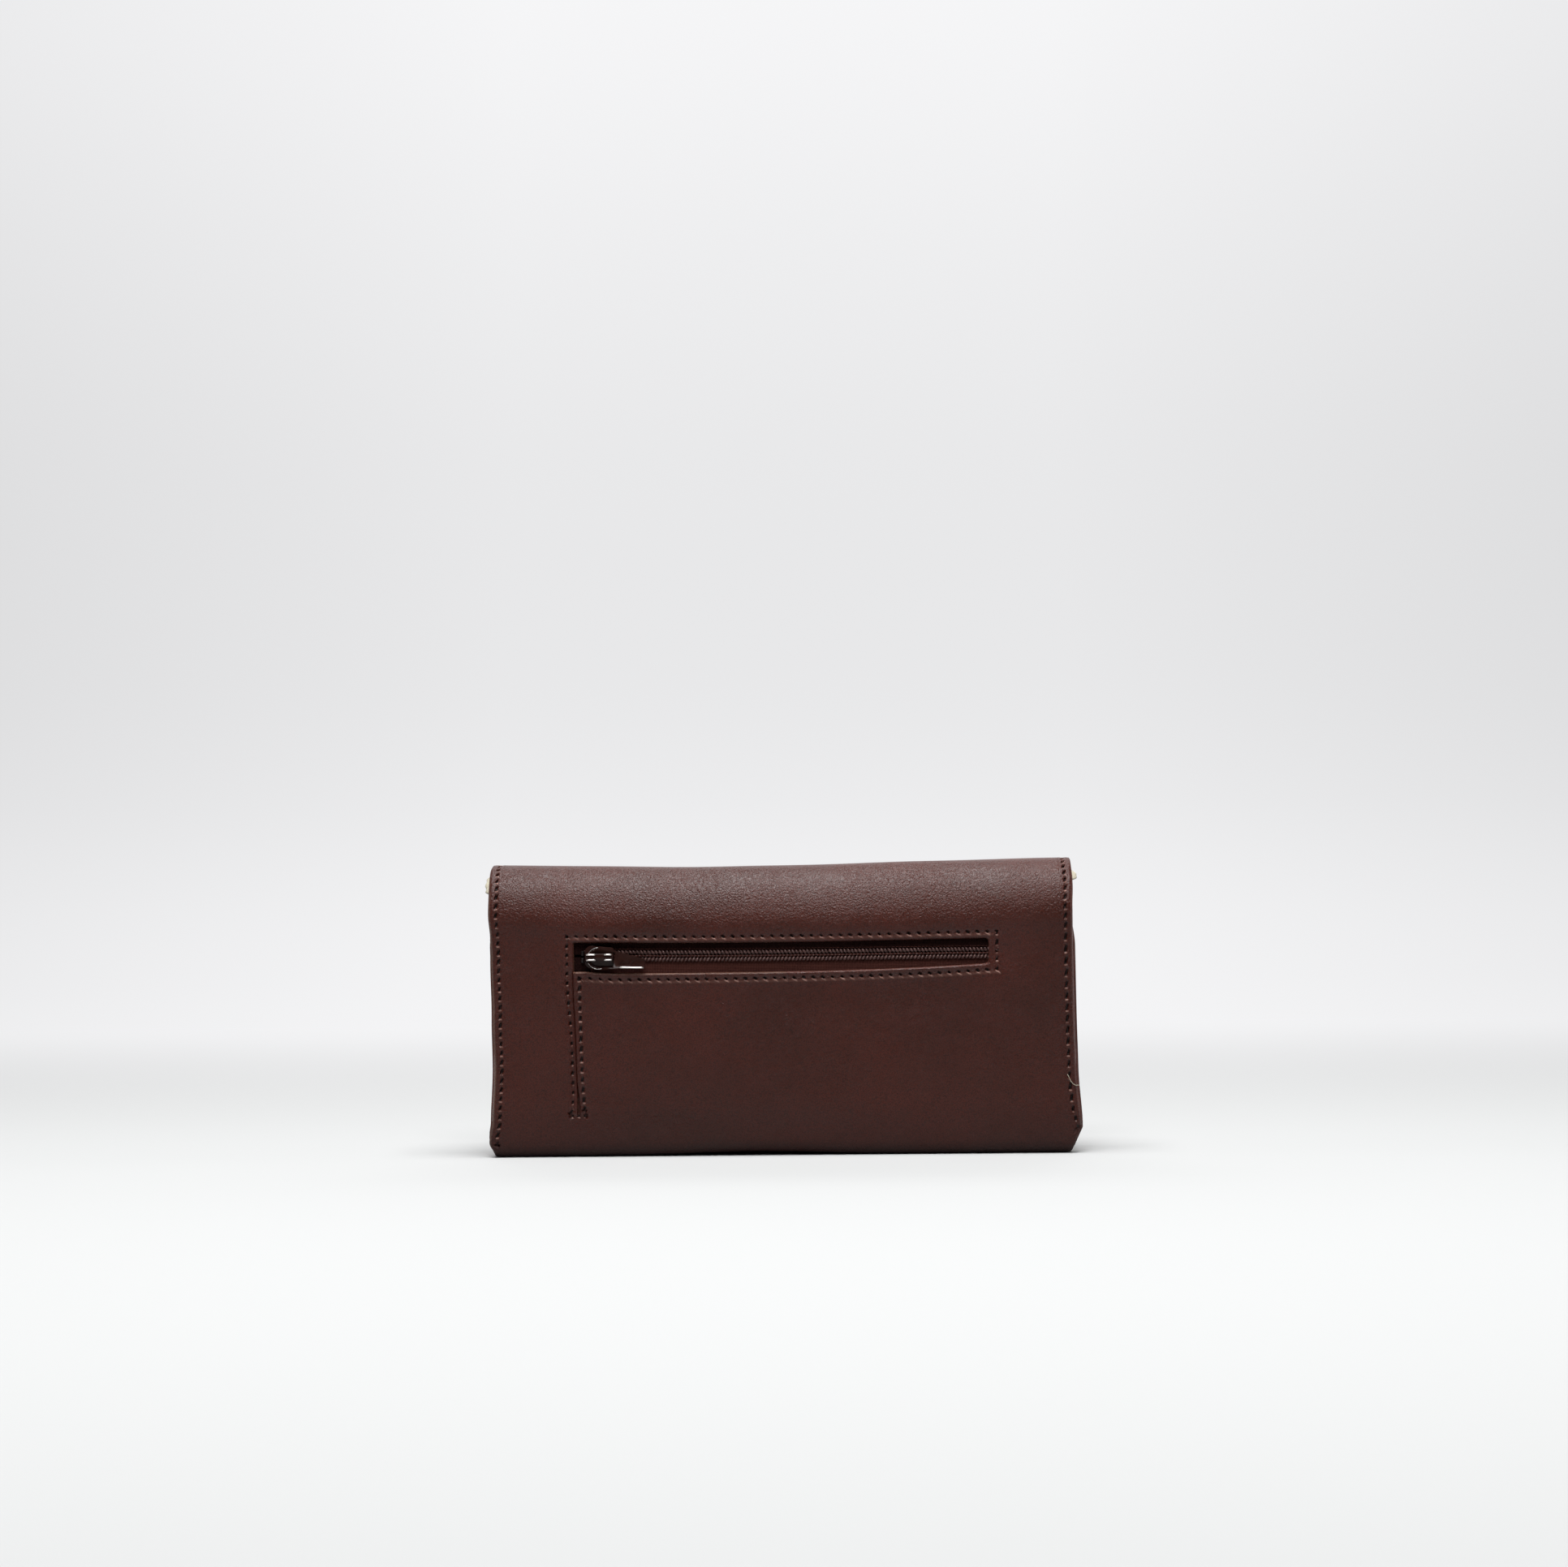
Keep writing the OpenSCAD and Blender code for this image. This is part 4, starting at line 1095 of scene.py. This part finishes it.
def liningFlap():
    ups = gridLines([apexUp, foldEndUp, flapLowRun - 14, flapLowRun - 1.5], 1.8, 0.4)
    u, up = np.meshgrid(gridLines(*acrossStops), ups)
    low, wide = flapLowRun - 1.5, half - lining["inset"]
    x = drawnIn(u * wide, up, low, flapCorner - 1.5, 60, wide)
    depth = foldLiningDepth + (foldThick + 0.6 - foldLiningDepth) * smooth(foldEndUp - 6, foldEndUp + 4, up)
    drop = rolled(np.minimum(wide - np.abs(u) * wide, low - up), lining["hem"])
    outer, inner = skinPoint(x, up, depth + drop), skinPoint(x, up, depth + lining["thick"] - drop)
    keep = np.hypot(middles(outer[..., 0]), middles(outer[..., 2]) - snapZ) > 1.9     # the stud's hole
    piece = shell("liningFlap", outer, inner, [creamCloth], keep)
    settle(piece, foldToFlap, "lining_cloth", "flap_lining")


def liningFront():
    low, high = nodeBox("front_lining")
    zs = gridLines([low[2], high[2] - 6, high[2]], 1.8, 0.4)
    u, z = np.meshgrid(gridLines([-1, -0.9, 0.9, 1], 0.02, 0.006), zs)
    wide = sideAt(z) - lining["inset"]
    x = drawnIn(u * wide, z, high[2], frontCorner, 70, wide)
    drop = rolled(np.minimum(wide * (1 - np.abs(u)), high[2] - z), lining["hem"])
    sway = 0.05 * np.sin(x / 9) * np.sin(z / 7)
    piece = upright("liningFront", x, z, low[1] + drop + sway + 0.05, high[1] - drop, [creamCloth])
    settle(piece, "front", "lining_cloth", "front_lining")


def liningBase():
    low, high = nodeBox("base_lining")
    x, y, toEdge = rectangle([low[0], high[0]], [low[1], high[1]], (3, 0.3), (1.4, 0.3))
    drop = rolled(toEdge, lining["hem"])
    ripple = 0.06 * np.sin(x / 7 + y / 3) * smooth(0, 3, toEdge)
    under, over = low[2] + drop, high[2] - drop + ripple
    piece = shell("liningBase", np.stack([x, y, over], -1), np.stack([x, y, under], -1), [creamCloth])
    settle(piece, "back", "lining_cloth", "base_lining")


snapZ = sum(box[2] for box in nodeBox("snap_socket")) / 2
for make in (liningBack, liningFlap, liningFront, liningBase):
    make()
print("linings made")


# gussets: thin leather folded in twice at each side, softened, with cloth on the inner side
gussetShape = {
    "in": 8.0, "out": 0.45, "backDepth": 2.55, "frontDepth": 19.3, "middle": 15.0,
    "low": 2.5, "high": 84.0, "thick": 0.6, "cloth": 0.36, "trim": 12,
}


# a folded line with its corners rounded by cutting them off again and again, at even steps
def softPath(points, step=0.7, rounds=3):
    p = np.array(points, float)
    for _ in range(rounds):
        q = [p[0]]
        for a, b in zip(p[:-1], p[1:]):
            q += [a * 0.75 + b * 0.25, a * 0.25 + b * 0.75]
        p = np.array(q + [p[-1]])
    length = np.concatenate([[0], np.cumsum(np.hypot(*(p[1:] - p[:-1]).T))])
    t = np.linspace(0, length[-1], int(length[-1] / step) + 1)
    return np.stack([np.interp(t, length, p[:, 0]), np.interp(t, length, p[:, 1])], 1)


def gusset(sign):
    g = gussetShape
    side = "Left" if sign < 0 else "Right"
    near, far, middle, out = g["backDepth"], g["frontDepth"], g["middle"], -g["out"]
    path = softPath([
        [g["in"], near], [out, near], [out, near + 0.5], [g["in"], (near + middle) / 2], [1.0, middle],
        [g["in"], (far + middle) / 2], [out, far - 0.5], [out, far], [g["in"], far]])
    zs = gridLines([g["low"], 12, 70, g["high"]], 2.2, 0.5)
    along = np.gradient(path, axis=0)
    normal = np.stack([-along[:, 1], along[:, 0]], 1) / np.hypot(*along.T)[:, None]
    rows = []
    skin = g["thick"] / 2
    for offset in (skin, -skin, -skin - 0.06, -skin - 0.06 - g["cloth"]):
        line = path + normal * offset
        u, z = np.meshgrid(line[:, 0], zs)
        d = np.broadcast_to(line[:, 1], u.shape)
        # the folds sag inwards between their sewn ends, and draw in under the top fold
        sway = 0.35 * np.sin(z / 11 + d * 0.5 + sign) * smooth(3.4, 6, d) * (1 - smooth(16.5, 18.8, d))
        upper = smooth(74, g["high"], z)
        drawn = 2.0 * upper * smooth(2.6, 5, d) * (1 - smooth(17, 19, d))
        u = u + sway * smooth(2, 14, z) + drawn + 1.9 * smooth(68, g["high"], z) * (d < 5)
        d = d + ((near + far) / 2 - d) * 0.12 * upper * (d > 6)
        rim = sideAt(z) + eased(z, body["creep" + side]) * 0.8 * (1 - smooth(4, 9, d))
        rim = rim - cornerCut(z, body["cut" + side] + 1.2)
        rows.append(np.stack([sign * (rim - u), backY + d, z], -1))
    trim = slice(g["trim"], -g["trim"])
    flip = sign < 0
    leather = shell("gusset" + side, rows[0], rows[1], [brightenedGussetLeather, edgePaint], flip=flip)
    cloth = shell("gussetLining" + side, rows[2][:, trim], rows[3][:, trim], [creamCloth], flip=flip)
    node = side.lower() + "_gusset"
    for piece, slot, name in ((leather, "thin_leather", node), (cloth, "lining_cloth", node + "_lining")):
        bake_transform(piece)
        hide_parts(name)
    legs = np.hypot(*(path[1:] - path[:-1]).T)
    return float(legs.sum())


print("gussets made, folded length", [round(gusset(sign), 1) for sign in (-1, 1)])

# a stray end of lining thread at the right seam
stray = {"x": [92.6, 93.1, 93.4, 94.2, 95.0], "up": [26.0, 25.0, 24.0, 22.8, 22.4], "tip": [1.3, 0.5, 0.0]}
strayPath = skinPoint(np.array(stray["x"]), np.array(stray["up"]), 0.0, 0.08)
strayPath = np.concatenate([strayPath, strayPath[-1:] + [stray["tip"]]])
settle(meshMm("strayThread", *tube(strayPath, 0.11, 6), [creamCloth]), "back", "lining_cloth")

# zip: two woven tapes, two rows of coil, and the stops
zipper = {
    "pitch": 1.22, "start": coilLow[0], "end": coilHigh[0] + 6.2, "top": 2.0, "head": 0.30, "wire": 0.30,
    "front": -11.63, "back": -10.62, "sewn": -10.42, "lean": 0.78,
    "bow": [(-70, 0.3), (-15, 0.0), (67, 0.3)], "shadedTo": -64.5,
    "stopShift": 4.2,       # the far stop lies just under the window's edge
}
turns = int((zipper["end"] - zipper["start"]) / zipper["pitch"])


# the zip sags in its middle and creeps up towards its ends
def zipBow(x):
    return eased(x, zipper["bow"])


# places along the zip, one for each turn of the coil
def alongZip(shift):
    return zipper["start"] + (np.arange(turns) + shift) * zipper["pitch"]


def tape(side):
    node = "zip_tape_upper" if side > 0 else "zip_tape_lower"
    low, high = nodeBox(node)
    x, z, toEdge = rectangle([low[0], high[0]], [low[2], high[2]], (0.9, 0.3), (0.45, 0.2))
    fromChain = (low[2] if side > 0 else high[2]) - z
    ridge = 0.14 * bump(-side * 2.2, 0.35, fromChain) + 0.06 * bump(-side * 3.4, 0.3, fromChain)
    wave = 0.10 * np.sin(x / 11 + side) * smooth(1.5, 5, np.abs(fromChain))
    fromMiddle = np.abs(z - zipZ)
    near = low[1] + rolled(toEdge, 0.2) - (ridge + wave * 0.4 + 0.05) * (1 - smooth(5.6, 6.4, fromMiddle))
    risen = z + zipBow(x) * (1 - smooth(6, 10, fromMiddle))
    # the upper tape takes the darker tapeShade: painted shade under the window's top edge
    name, weave = ("tapeUpper", tapeShade) if side > 0 else ("tapeLower", tapeWeave)
    piece = upright(name, x, risen, near, high[1] - rolled(toEdge, 0.2), [weave])
    if side < 0:
        piece.data.materials.append(tapeShade)   # the end behind the slider, painted dark as shade
        for face in piece.data.polygons:
            face.material_index = int(face.center.x * 1000 < zipper["shadedTo"])
    settle(piece, "back", "zip_tape", node)


# one row: each turn runs down the front at a lean, round its head and back up behind
def coil(side):
    wire, back, lean, pitch = zipper["wire"], zipper["back"], zipper["lean"], zipper["pitch"]
    front, top, head = zipper["front"] + wire * 0.95, zipper["top"] - wire, zipper["head"]
    turn = [        # X, Y, Z and how thick the wire is there
        (-0.05, back, top - 0.3, 0.8), (-0.02, (front + back) / 2, top + 0.02, 0.9),
        (0.10, front + 0.14, top - 0.08, 1.05), (0.26, front, top - 0.34, 1.3),
        (0.46, front - 0.03, top - 0.66, 1.35), (0.62, front + 0.16, top - 0.92, 1.1),
        (lean, front + 0.56, head + 0.22, 0.8), (lean, (front + back) / 2 + 0.2, head - 0.05, 0.8),
        (lean, back, head + 0.3, 0.9), (pitch * 0.9, back + 0.05, top * 0.6, 0.8),
        (pitch - 0.05, back, top - 0.3, 0.8)]
    shape = tube([(x, y, side * z) for x, y, z, thick in turn], [wire * place[3] for place in turn], 6)
    x, number = alongZip(0), np.arange(turns)
    places = np.stack([x, 0.02 * np.sin(number * 1.7), zipZ + zipBow(x + 0.5)], 1)
    twists = np.stack([0 * x, 0.03 * np.sin(number * 2.3), 0 * x], 1)
    name, node = ("coilUpper", "zip_coil_upper") if side > 0 else ("coilLower", "zip_coil_lower")
    settle(repeated(name, shape, places, twists, coilNylon), "back", "zip_coil", node)


# the small flattened heads that meet along the zip's middle, and the cord inside the coil
def coilHeads():
    path = [(-0.27, 0, 0), (-0.16, -0.02, 0), (0.16, -0.02, 0), (0.27, 0, 0)]
    shape = tube(path, [0.09, 0.22, 0.22, 0.09], 6, 0.85)
    x = alongZip(0.5) + 0.3
    places = np.stack([x, np.full(turns, zipper["front"] + 0.42), zipZ + zipBow(x)], 1)
    settle(repeated("coilHeads", shape, places, np.zeros((turns, 3)), coilNylon), "back", "zip_coil")
    x = np.linspace(zipper["start"], zipper["end"], 40)
    core = tube(np.stack([x, np.full(40, zipper["front"] + 0.75), zipZ + zipBow(x)], 1), 0.34, 8)
    settle(meshMm("coilCore", *core, [tapeWeave]), "back", "zip_coil")


# the thread that sews each coil down, seen as short dashes just outside it
def chainStitches():
    path = [(-0.5, 0, 0.06), (-0.25, -0.1, 0.02), (0.25, -0.1, -0.02), (0.5, 0, -0.06)]
    shape = tube(path, [0.08, 0.13, 0.13, 0.08], 5)
    x = alongZip(0.5)
    places = np.concatenate([
        np.stack([x, np.full(turns, zipper["sewn"]), zipZ + side * 2.25 + zipBow(x)], 1) for side in (-1, 1)])
    piece = repeated("chainStitches", shape, places, np.zeros((2 * turns, 3)), tapeWeave)
    settle(piece, "back", "zip_tape")


for side in (-1, 1):
    tape(side)
    coil(side)
coilHeads()
chainStitches()
for name, node, width, material, ride, slot in (
        ("topStops", "zip_top_stops", 0.3, stopShadeTone, "back", "zip_metal"),
        ("bottomStop", "zip_bottom_stop", 0.3, stopShadeTone, "back", "zip_metal"),
        ("sliderBody", "zip_slider", 0.16, enamel, "slider", "zip_metal"),
        ("sliderCrown", "slider_crown", 0.22, enamel, "slider", "zip_metal"),
        ("zipPull", "zip_pull", 0.26, enamel, "pull", "zip_metal"),
        ("snapStud", "snap_stud", 0.15, brassOld, "flap", "snap_metal"),
        ("studWasher", "stud_washer", 0.1, steelPlain, "flap", "steel"),
        ("snapSocket", "snap_socket", 0.08, brassOld, "front", "snap_metal"),
        ("snapMagnet", "snap_magnet", 0.06, ferrite, "front", "magnet"),
        ("socketWasher", "socket_washer", 0.08, steelPlain, "front", "steel"),
        ("flapBoard", "flap_board", 0.12, fibreBoard, "flap", "board"),
        ("frontBoard", "front_board", 0.12, fibreBoard, "front", "board")):
    piece = softenedCopy(name, node, width, material)
    if name == "bottomStop":
        for vertex in piece.data.vertices:
            vertex.co.x += zipper["stopShift"] * 0.001
    settle(piece, ride, slot, node)
ridge = {
    "radius": 0.28, "proud": 0.12, "crownInset": 0.28,
    "crownEnds": [(0.5, 3.5), (6.4, 8.8)],      # where the crown's two rails rise, from its left end
    "pullFace": -13.95, "pullStart": 10.6, "pullEnd": 18.7, "pullFrom": 0.72, "pullTo": 0.60,
    "eye": 3.75, "eyeReach": 3.52, "eyeWire": 0.08, "eyeProud": 0.03,
    "eyeArcs": [(88, 158), (205, 292)],         # degrees round the pull's eye
}


# rolled edges that stand out of the crown, and of the pull's low side and its eye
def ridges():
    radius, high = ridge["radius"], ridge["proud"] + ridge["radius"]
    crownLow, crownHigh = nodeBox("slider_crown")
    paths = []
    for z in (crownHigh[2] - ridge["crownInset"], crownLow[2] + ridge["crownInset"]):
        for a, b in ridge["crownEnds"]:
            start, face = crownLow[0] + a, crownLow[1] + radius
            paths.append([
                (start + (b - a) * k, face - high * math.sin(math.pi * k) ** 0.35, z)
                for k in np.linspace(0, 1, 9)])
    crown = tubes("crownRails", paths, [radius] * len(paths), wornMetal)
    low, top = nodeBox("zip_pull")
    face = ridge["pullFace"]
    length, lean = ridge["pullEnd"] - ridge["pullStart"], ridge["pullTo"] - ridge["pullFrom"]
    startX, startZ = low[0] + ridge["pullStart"], low[2] + ridge["pullFrom"]
    paths = [[
        (startX + length * k, face + radius - high * math.sin(math.pi * k) ** 0.25, startZ + lean * k)
        for k in np.linspace(0, 1, 13)]]
    eyeX, eyeZ = low[0] + ridge["eye"], (low[2] + top[2]) / 2
    reach, wire = ridge["eyeReach"], ridge["eyeWire"]
    for first, last in ridge["eyeArcs"]:
        path = []
        for k in np.linspace(0, 1, 15):
            angle = math.radians(first + (last - first) * k)
            sink = wire - (wire + ridge["eyeProud"]) * math.sin(math.pi * k) ** 0.3
            path.append((eyeX + reach * math.cos(angle), face + sink, eyeZ + reach * math.sin(angle)))
        paths.append(path)
    rim = tubes("pullRim", paths, [radius, wire, wire], wornMetal)
    settle(crown, "slider", "zip_metal")
    settle(rim, "pull", "zip_metal")


ridges()
print("zip and snap made")


# a cloth bag, open at the zip: a front sheet, and a back that bellies out and is sewn round its rim
bag = {"cloth": 0.4, "belly": 1.9, "room": 0.85, "grid": (2.4, 0.3)}


def pocketBag():
    low, high = nodeBox("pocket_bag_back")
    top = nodeBox("pocket_bag_front")[1][2]
    across = [low[0], high[0]]
    x, z, toEdge = rectangle(across, [low[2], high[2]], bag["grid"], bag["grid"])
    belly = (high[1] - low[1] - bag["room"]) * (1 - np.exp(-toEdge / bag["belly"]))
    crease = 0.22 * np.sin(x / 10 + z / 17) * np.sin(z / 9) * smooth(2, 10, toEdge)
    near = low[1] + 0.42 + belly - np.abs(crease)
    backSheet = upright("bagBack", x, z, near, near + bag["cloth"], [pocketCloth])
    x, z, toEdge = rectangle(across, [low[2], top], bag["grid"], bag["grid"])
    near = low[1] + 0.02 + 0.06 * np.sin(x / 13) * smooth(1, 8, top - z)
    hem = rolled(top - z, 0.15)
    frontSheet = upright("bagFront", x, z, near + hem, near + 0.38 - hem, [pocketCloth])
    settle(backSheet, "back", "pocket_cloth", "pocket_bag_back")
    settle(frontSheet, "back", "pocket_cloth", "pocket_bag_front")


# one object from several that share their materials
def joined(name, parts):
    mesh = bpy.data.meshes.new(name)
    bm = bmesh.new()
    for part in parts:
        bm.from_mesh(part.data)
    bm.to_mesh(mesh)
    bm.free()
    for material in parts[0].data.materials:
        mesh.materials.append(material)
    for part in parts:
        bpy.data.objects.remove(part, do_unlink=True)
    return linked(name, mesh)


# two columns of thin leather with a creased, sewn top edge
def cardSlots(node, name, lift):
    low, high = nodeBox(node)
    parts = []
    for x0, x1 in ((low[0], -1.0), (1.0, high[0])):
        x, z, toEdge = rectangle([x0, x1], [low[2], high[2] - 3.2, high[2]], (2.6, 0.25), (2.6, 0.2))
        drop = rolled(toEdge, 0.2)
        crease = 0.10 * bump(high[2] - 3.2, 0.28, z) + 0.05 * bump(high[2] - 1.6, 0.5, z)
        bow = 0.25 * np.sin((x - x0) / (x1 - x0) * math.pi) * smooth(high[2] - 20, high[2], z) * lift
        near, far = low[1] + drop + bow, high[1] - drop - crease + bow
        parts.append(upright(name + "Part", x, z, near, far, [brightenedGussetLeather, edgePaint]))
    settle(joined(name, parts), "back", "thin_leather", node)


def divider():
    low, high = nodeBox("divider")
    x, z, toEdge = rectangle([low[0], high[0]], [low[2], high[2] - 3.5, high[2]], (2.6, 0.25), (2.6, 0.2))
    wide = (sideAt(z) - sideAt(low[2])) + high[0]
    x = x * wide / high[0]
    toEdge = np.minimum(wide - np.abs(x), np.minimum(z - low[2], high[2] - z))
    trimmed = rolled(toEdge, 0.35) + 0.10 * bump(high[2] - 3.5, 0.3, z)
    sway = 0.12 * np.sin(x / 25) * np.sin(z / 19) * smooth(4, 16, toEdge)
    near, far = low[1] + trimmed + sway, high[1] - trimmed + sway
    piece = upright("dividerPanel", x, z, near, far, [brightenedGussetLeather, edgePaint])
    settle(piece, "divider", "thin_leather", "divider")


def facing():
    low, high = nodeBox("slit_facing")
    x, z, toEdge = rectangle([low[0], high[0]], [low[2], high[2]], (2.0, 0.16), (2.0, 0.16))
    drop = rolled(toEdge, min(0.2, (high[1] - low[1] - 0.02) * 0.49))
    piece = upright("slitFacing", x, z, low[1] + 0.02 + drop, high[1] - drop, [brightenedGussetLeather, edgePaint])
    settle(piece, "back", "thin_leather", "slit_facing")


pocketBag()
for level, lift in (("low", 1.0), ("middle", 0.8), ("high", 0.6)):
    cardSlots("card_slots_" + level, "cardSlots" + level.capitalize(), lift)
divider()
facing()
print("inner pieces made")

# camera, floor and light
shot = {
    "sensor": 36, "distance": 1300.0, "frameWide": 517.0032, "height": 122.7, "sideways": -0.11, "roll": 0.49,
}


def makeCamera():
    data = bpy.data.cameras.new("viewCamera")
    data.sensor_width = shot["sensor"]
    data.lens = shot["sensor"] * shot["distance"] / shot["frameWide"]
    data.clip_start, data.clip_end = 0.01, 50
    scene.camera = linked("viewCamera", data)
    scene.camera.location = (
        shot["sideways"] * 0.001, (backY - shot["distance"]) * 0.001, shot["height"] * 0.001)
    scene.camera.rotation_euler = (math.radians(90), math.radians(shot["roll"]), 0)


# lengths in metres
stageLook = {
    "paper": srgb(209, 210, 210), "bounce": srgb(120, 120, 120), "roughness": 0.9, "specular": 0.05,
    # brightness of the backdrop at heights above the floor, for the camera alone
    "wall": [(0.0, 0.905), (0.05, 0.885), (0.11, 0.835), (0.20, 0.80), (0.36, 0.808), (0.47, 0.84),
             (0.58, 0.875), (0.70, 0.925)],
    "cool": 1.012, "sides": 0.10, "unseen": 0.5, "blend": (0.12, 0.7),
    "front": -0.72, "depth": 1.6, "radius": 0.5, "high": 2.2, "half": 3.0,
}


# the paper's own colour near the object, and a softly graded backdrop behind, for camera rays and reflections
def paperMaterial():
    look = stageLook
    material, tree, shader = newMaterial("paperSweep")
    path = addNode(tree, "LightPath").outputs
    shown = path["Is Camera Ray"]
    for ray in ("Is Glossy Ray", "Is Transmission Ray"):
        shown = maths(tree, "MAXIMUM", shown, path[ray])
    feed(shader, {
        "Base Color": mixed(tree, shown, look["bounce"], look["paper"]), "Roughness": look["roughness"],
        "Specular IOR Level": look["specular"]})
    place = addNode(tree, "SeparateXYZ", {0: addNode(tree, "TexCoord").outputs["Object"]}).outputs
    top = look["wall"][-1][0]
    ramp = addNode(tree, "ValToRGB", {"Fac": maths(tree, "MULTIPLY", place["Z"], 1 / top)})
    ramp.color_ramp.interpolation = "B_SPLINE"
    elements = ramp.color_ramp.elements
    for z, level in look["wall"][1:-1]:
        elements.new(z / top)
    for element, (z, level) in zip(elements, look["wall"]):
        element.position = z / top
        element.color = (level, level, level * look["cool"], 1)
    off = maths(tree, "ABSOLUTE", place["X"], 0)
    glow = addNode(tree, "Emission", {
        "Color": ramp.outputs["Color"], "Strength": ranged(tree, off, 0.2, 0.62, 1.0, 1.0 - look["sides"])})
    dark = addNode(tree, "Emission", {"Color": (look["unseen"],) * 3 + (1,), "Strength": 1.0})
    seen = addNode(tree, "MixShader", {0: shown, 1: dark.outputs[0], 2: glow.outputs[0]})
    behind = addNode(tree, "MapRange", {
        "Value": place["Y"], "From Min": look["blend"][0], "From Max": look["blend"][1]},
        interpolation_type="SMOOTHSTEP")
    nodes = tree.nodes
    blend = addNode(tree, "MixShader", {
        0: behind.outputs["Result"], 1: nodes["Principled BSDF"].outputs[0], 2: seen.outputs[0]})
    feed(nodes["Material Output"].inputs, {"Surface": blend.outputs[0]})
    return material


# the floor, swept up into a backdrop
def makeStage():
    radius, depth, half = stageLook["radius"], stageLook["depth"], stageLook["half"]
    profile = [(stageLook["front"], 0), (-0.3, 0), (0.6, 0)]
    profile += [
        (depth - radius + radius * math.sin(a), radius - radius * math.cos(a))
        for a in np.linspace(0, math.pi / 2, 24)]
    profile.append((depth, stageLook["high"]))
    points = [(side * half, y, z) for y, z in profile for side in (-1, 1)]
    faces = [(2 * i, 2 * i + 1, 2 * i + 3, 2 * i + 2) for i in range(len(profile) - 1)]
    meshMm("paperSweep", np.array(points) * 1000, faces, [paperMaterial()])


# each lamp's place and target, size (metres) and power, and the world's own level
lamps = {
    "world": 0.04,
    "area": {
        "ceiling": ((0, -0.20, 1.3), (0, -0.20, 0), (0.8, 0.6), 18.5),
        "front": ((0, -1.03, 1.28), (0, 0, 0.05), (0.7, 0.4), 8.6),
        "behind": ((0, 1.1, 1.2), (0, 0, 0.05), (1.2, 0.4), 3),
        "left": ((-1.2, 0, 0.35), (0, 0, 0.05), (0.3, 0.5), 1.2),
        "right": ((1.2, 0, 0.35), (0, 0, 0.05), (0.3, 0.5), 1.2)},
}


def areaLight(name, place, target, size, power):
    data = bpy.data.lights.new(name, "AREA")
    data.shape = "RECTANGLE"
    data.size, data.size_y = size
    data.energy = power
    light = linked(name, data)
    light.location = place
    light.rotation_mode = "QUATERNION"
    light.rotation_quaternion = (Vector(target) - Vector(place)).to_track_quat("-Z", "Y")


def makeLight():
    scene.world = bpy.data.worlds.new("studio")
    scene.world.use_nodes = True
    background = scene.world.node_tree.nodes["Background"].inputs
    feed(background, {"Color": (1, 1, 1, 1), "Strength": lamps["world"]})
    for name, (place, target, size, power) in lamps["area"].items():
        areaLight(name, place, target, size, power)


makeCamera()
makeStage()
makeLight()
scene.view_settings.view_transform = "Standard"
print("camera, floor and light made")
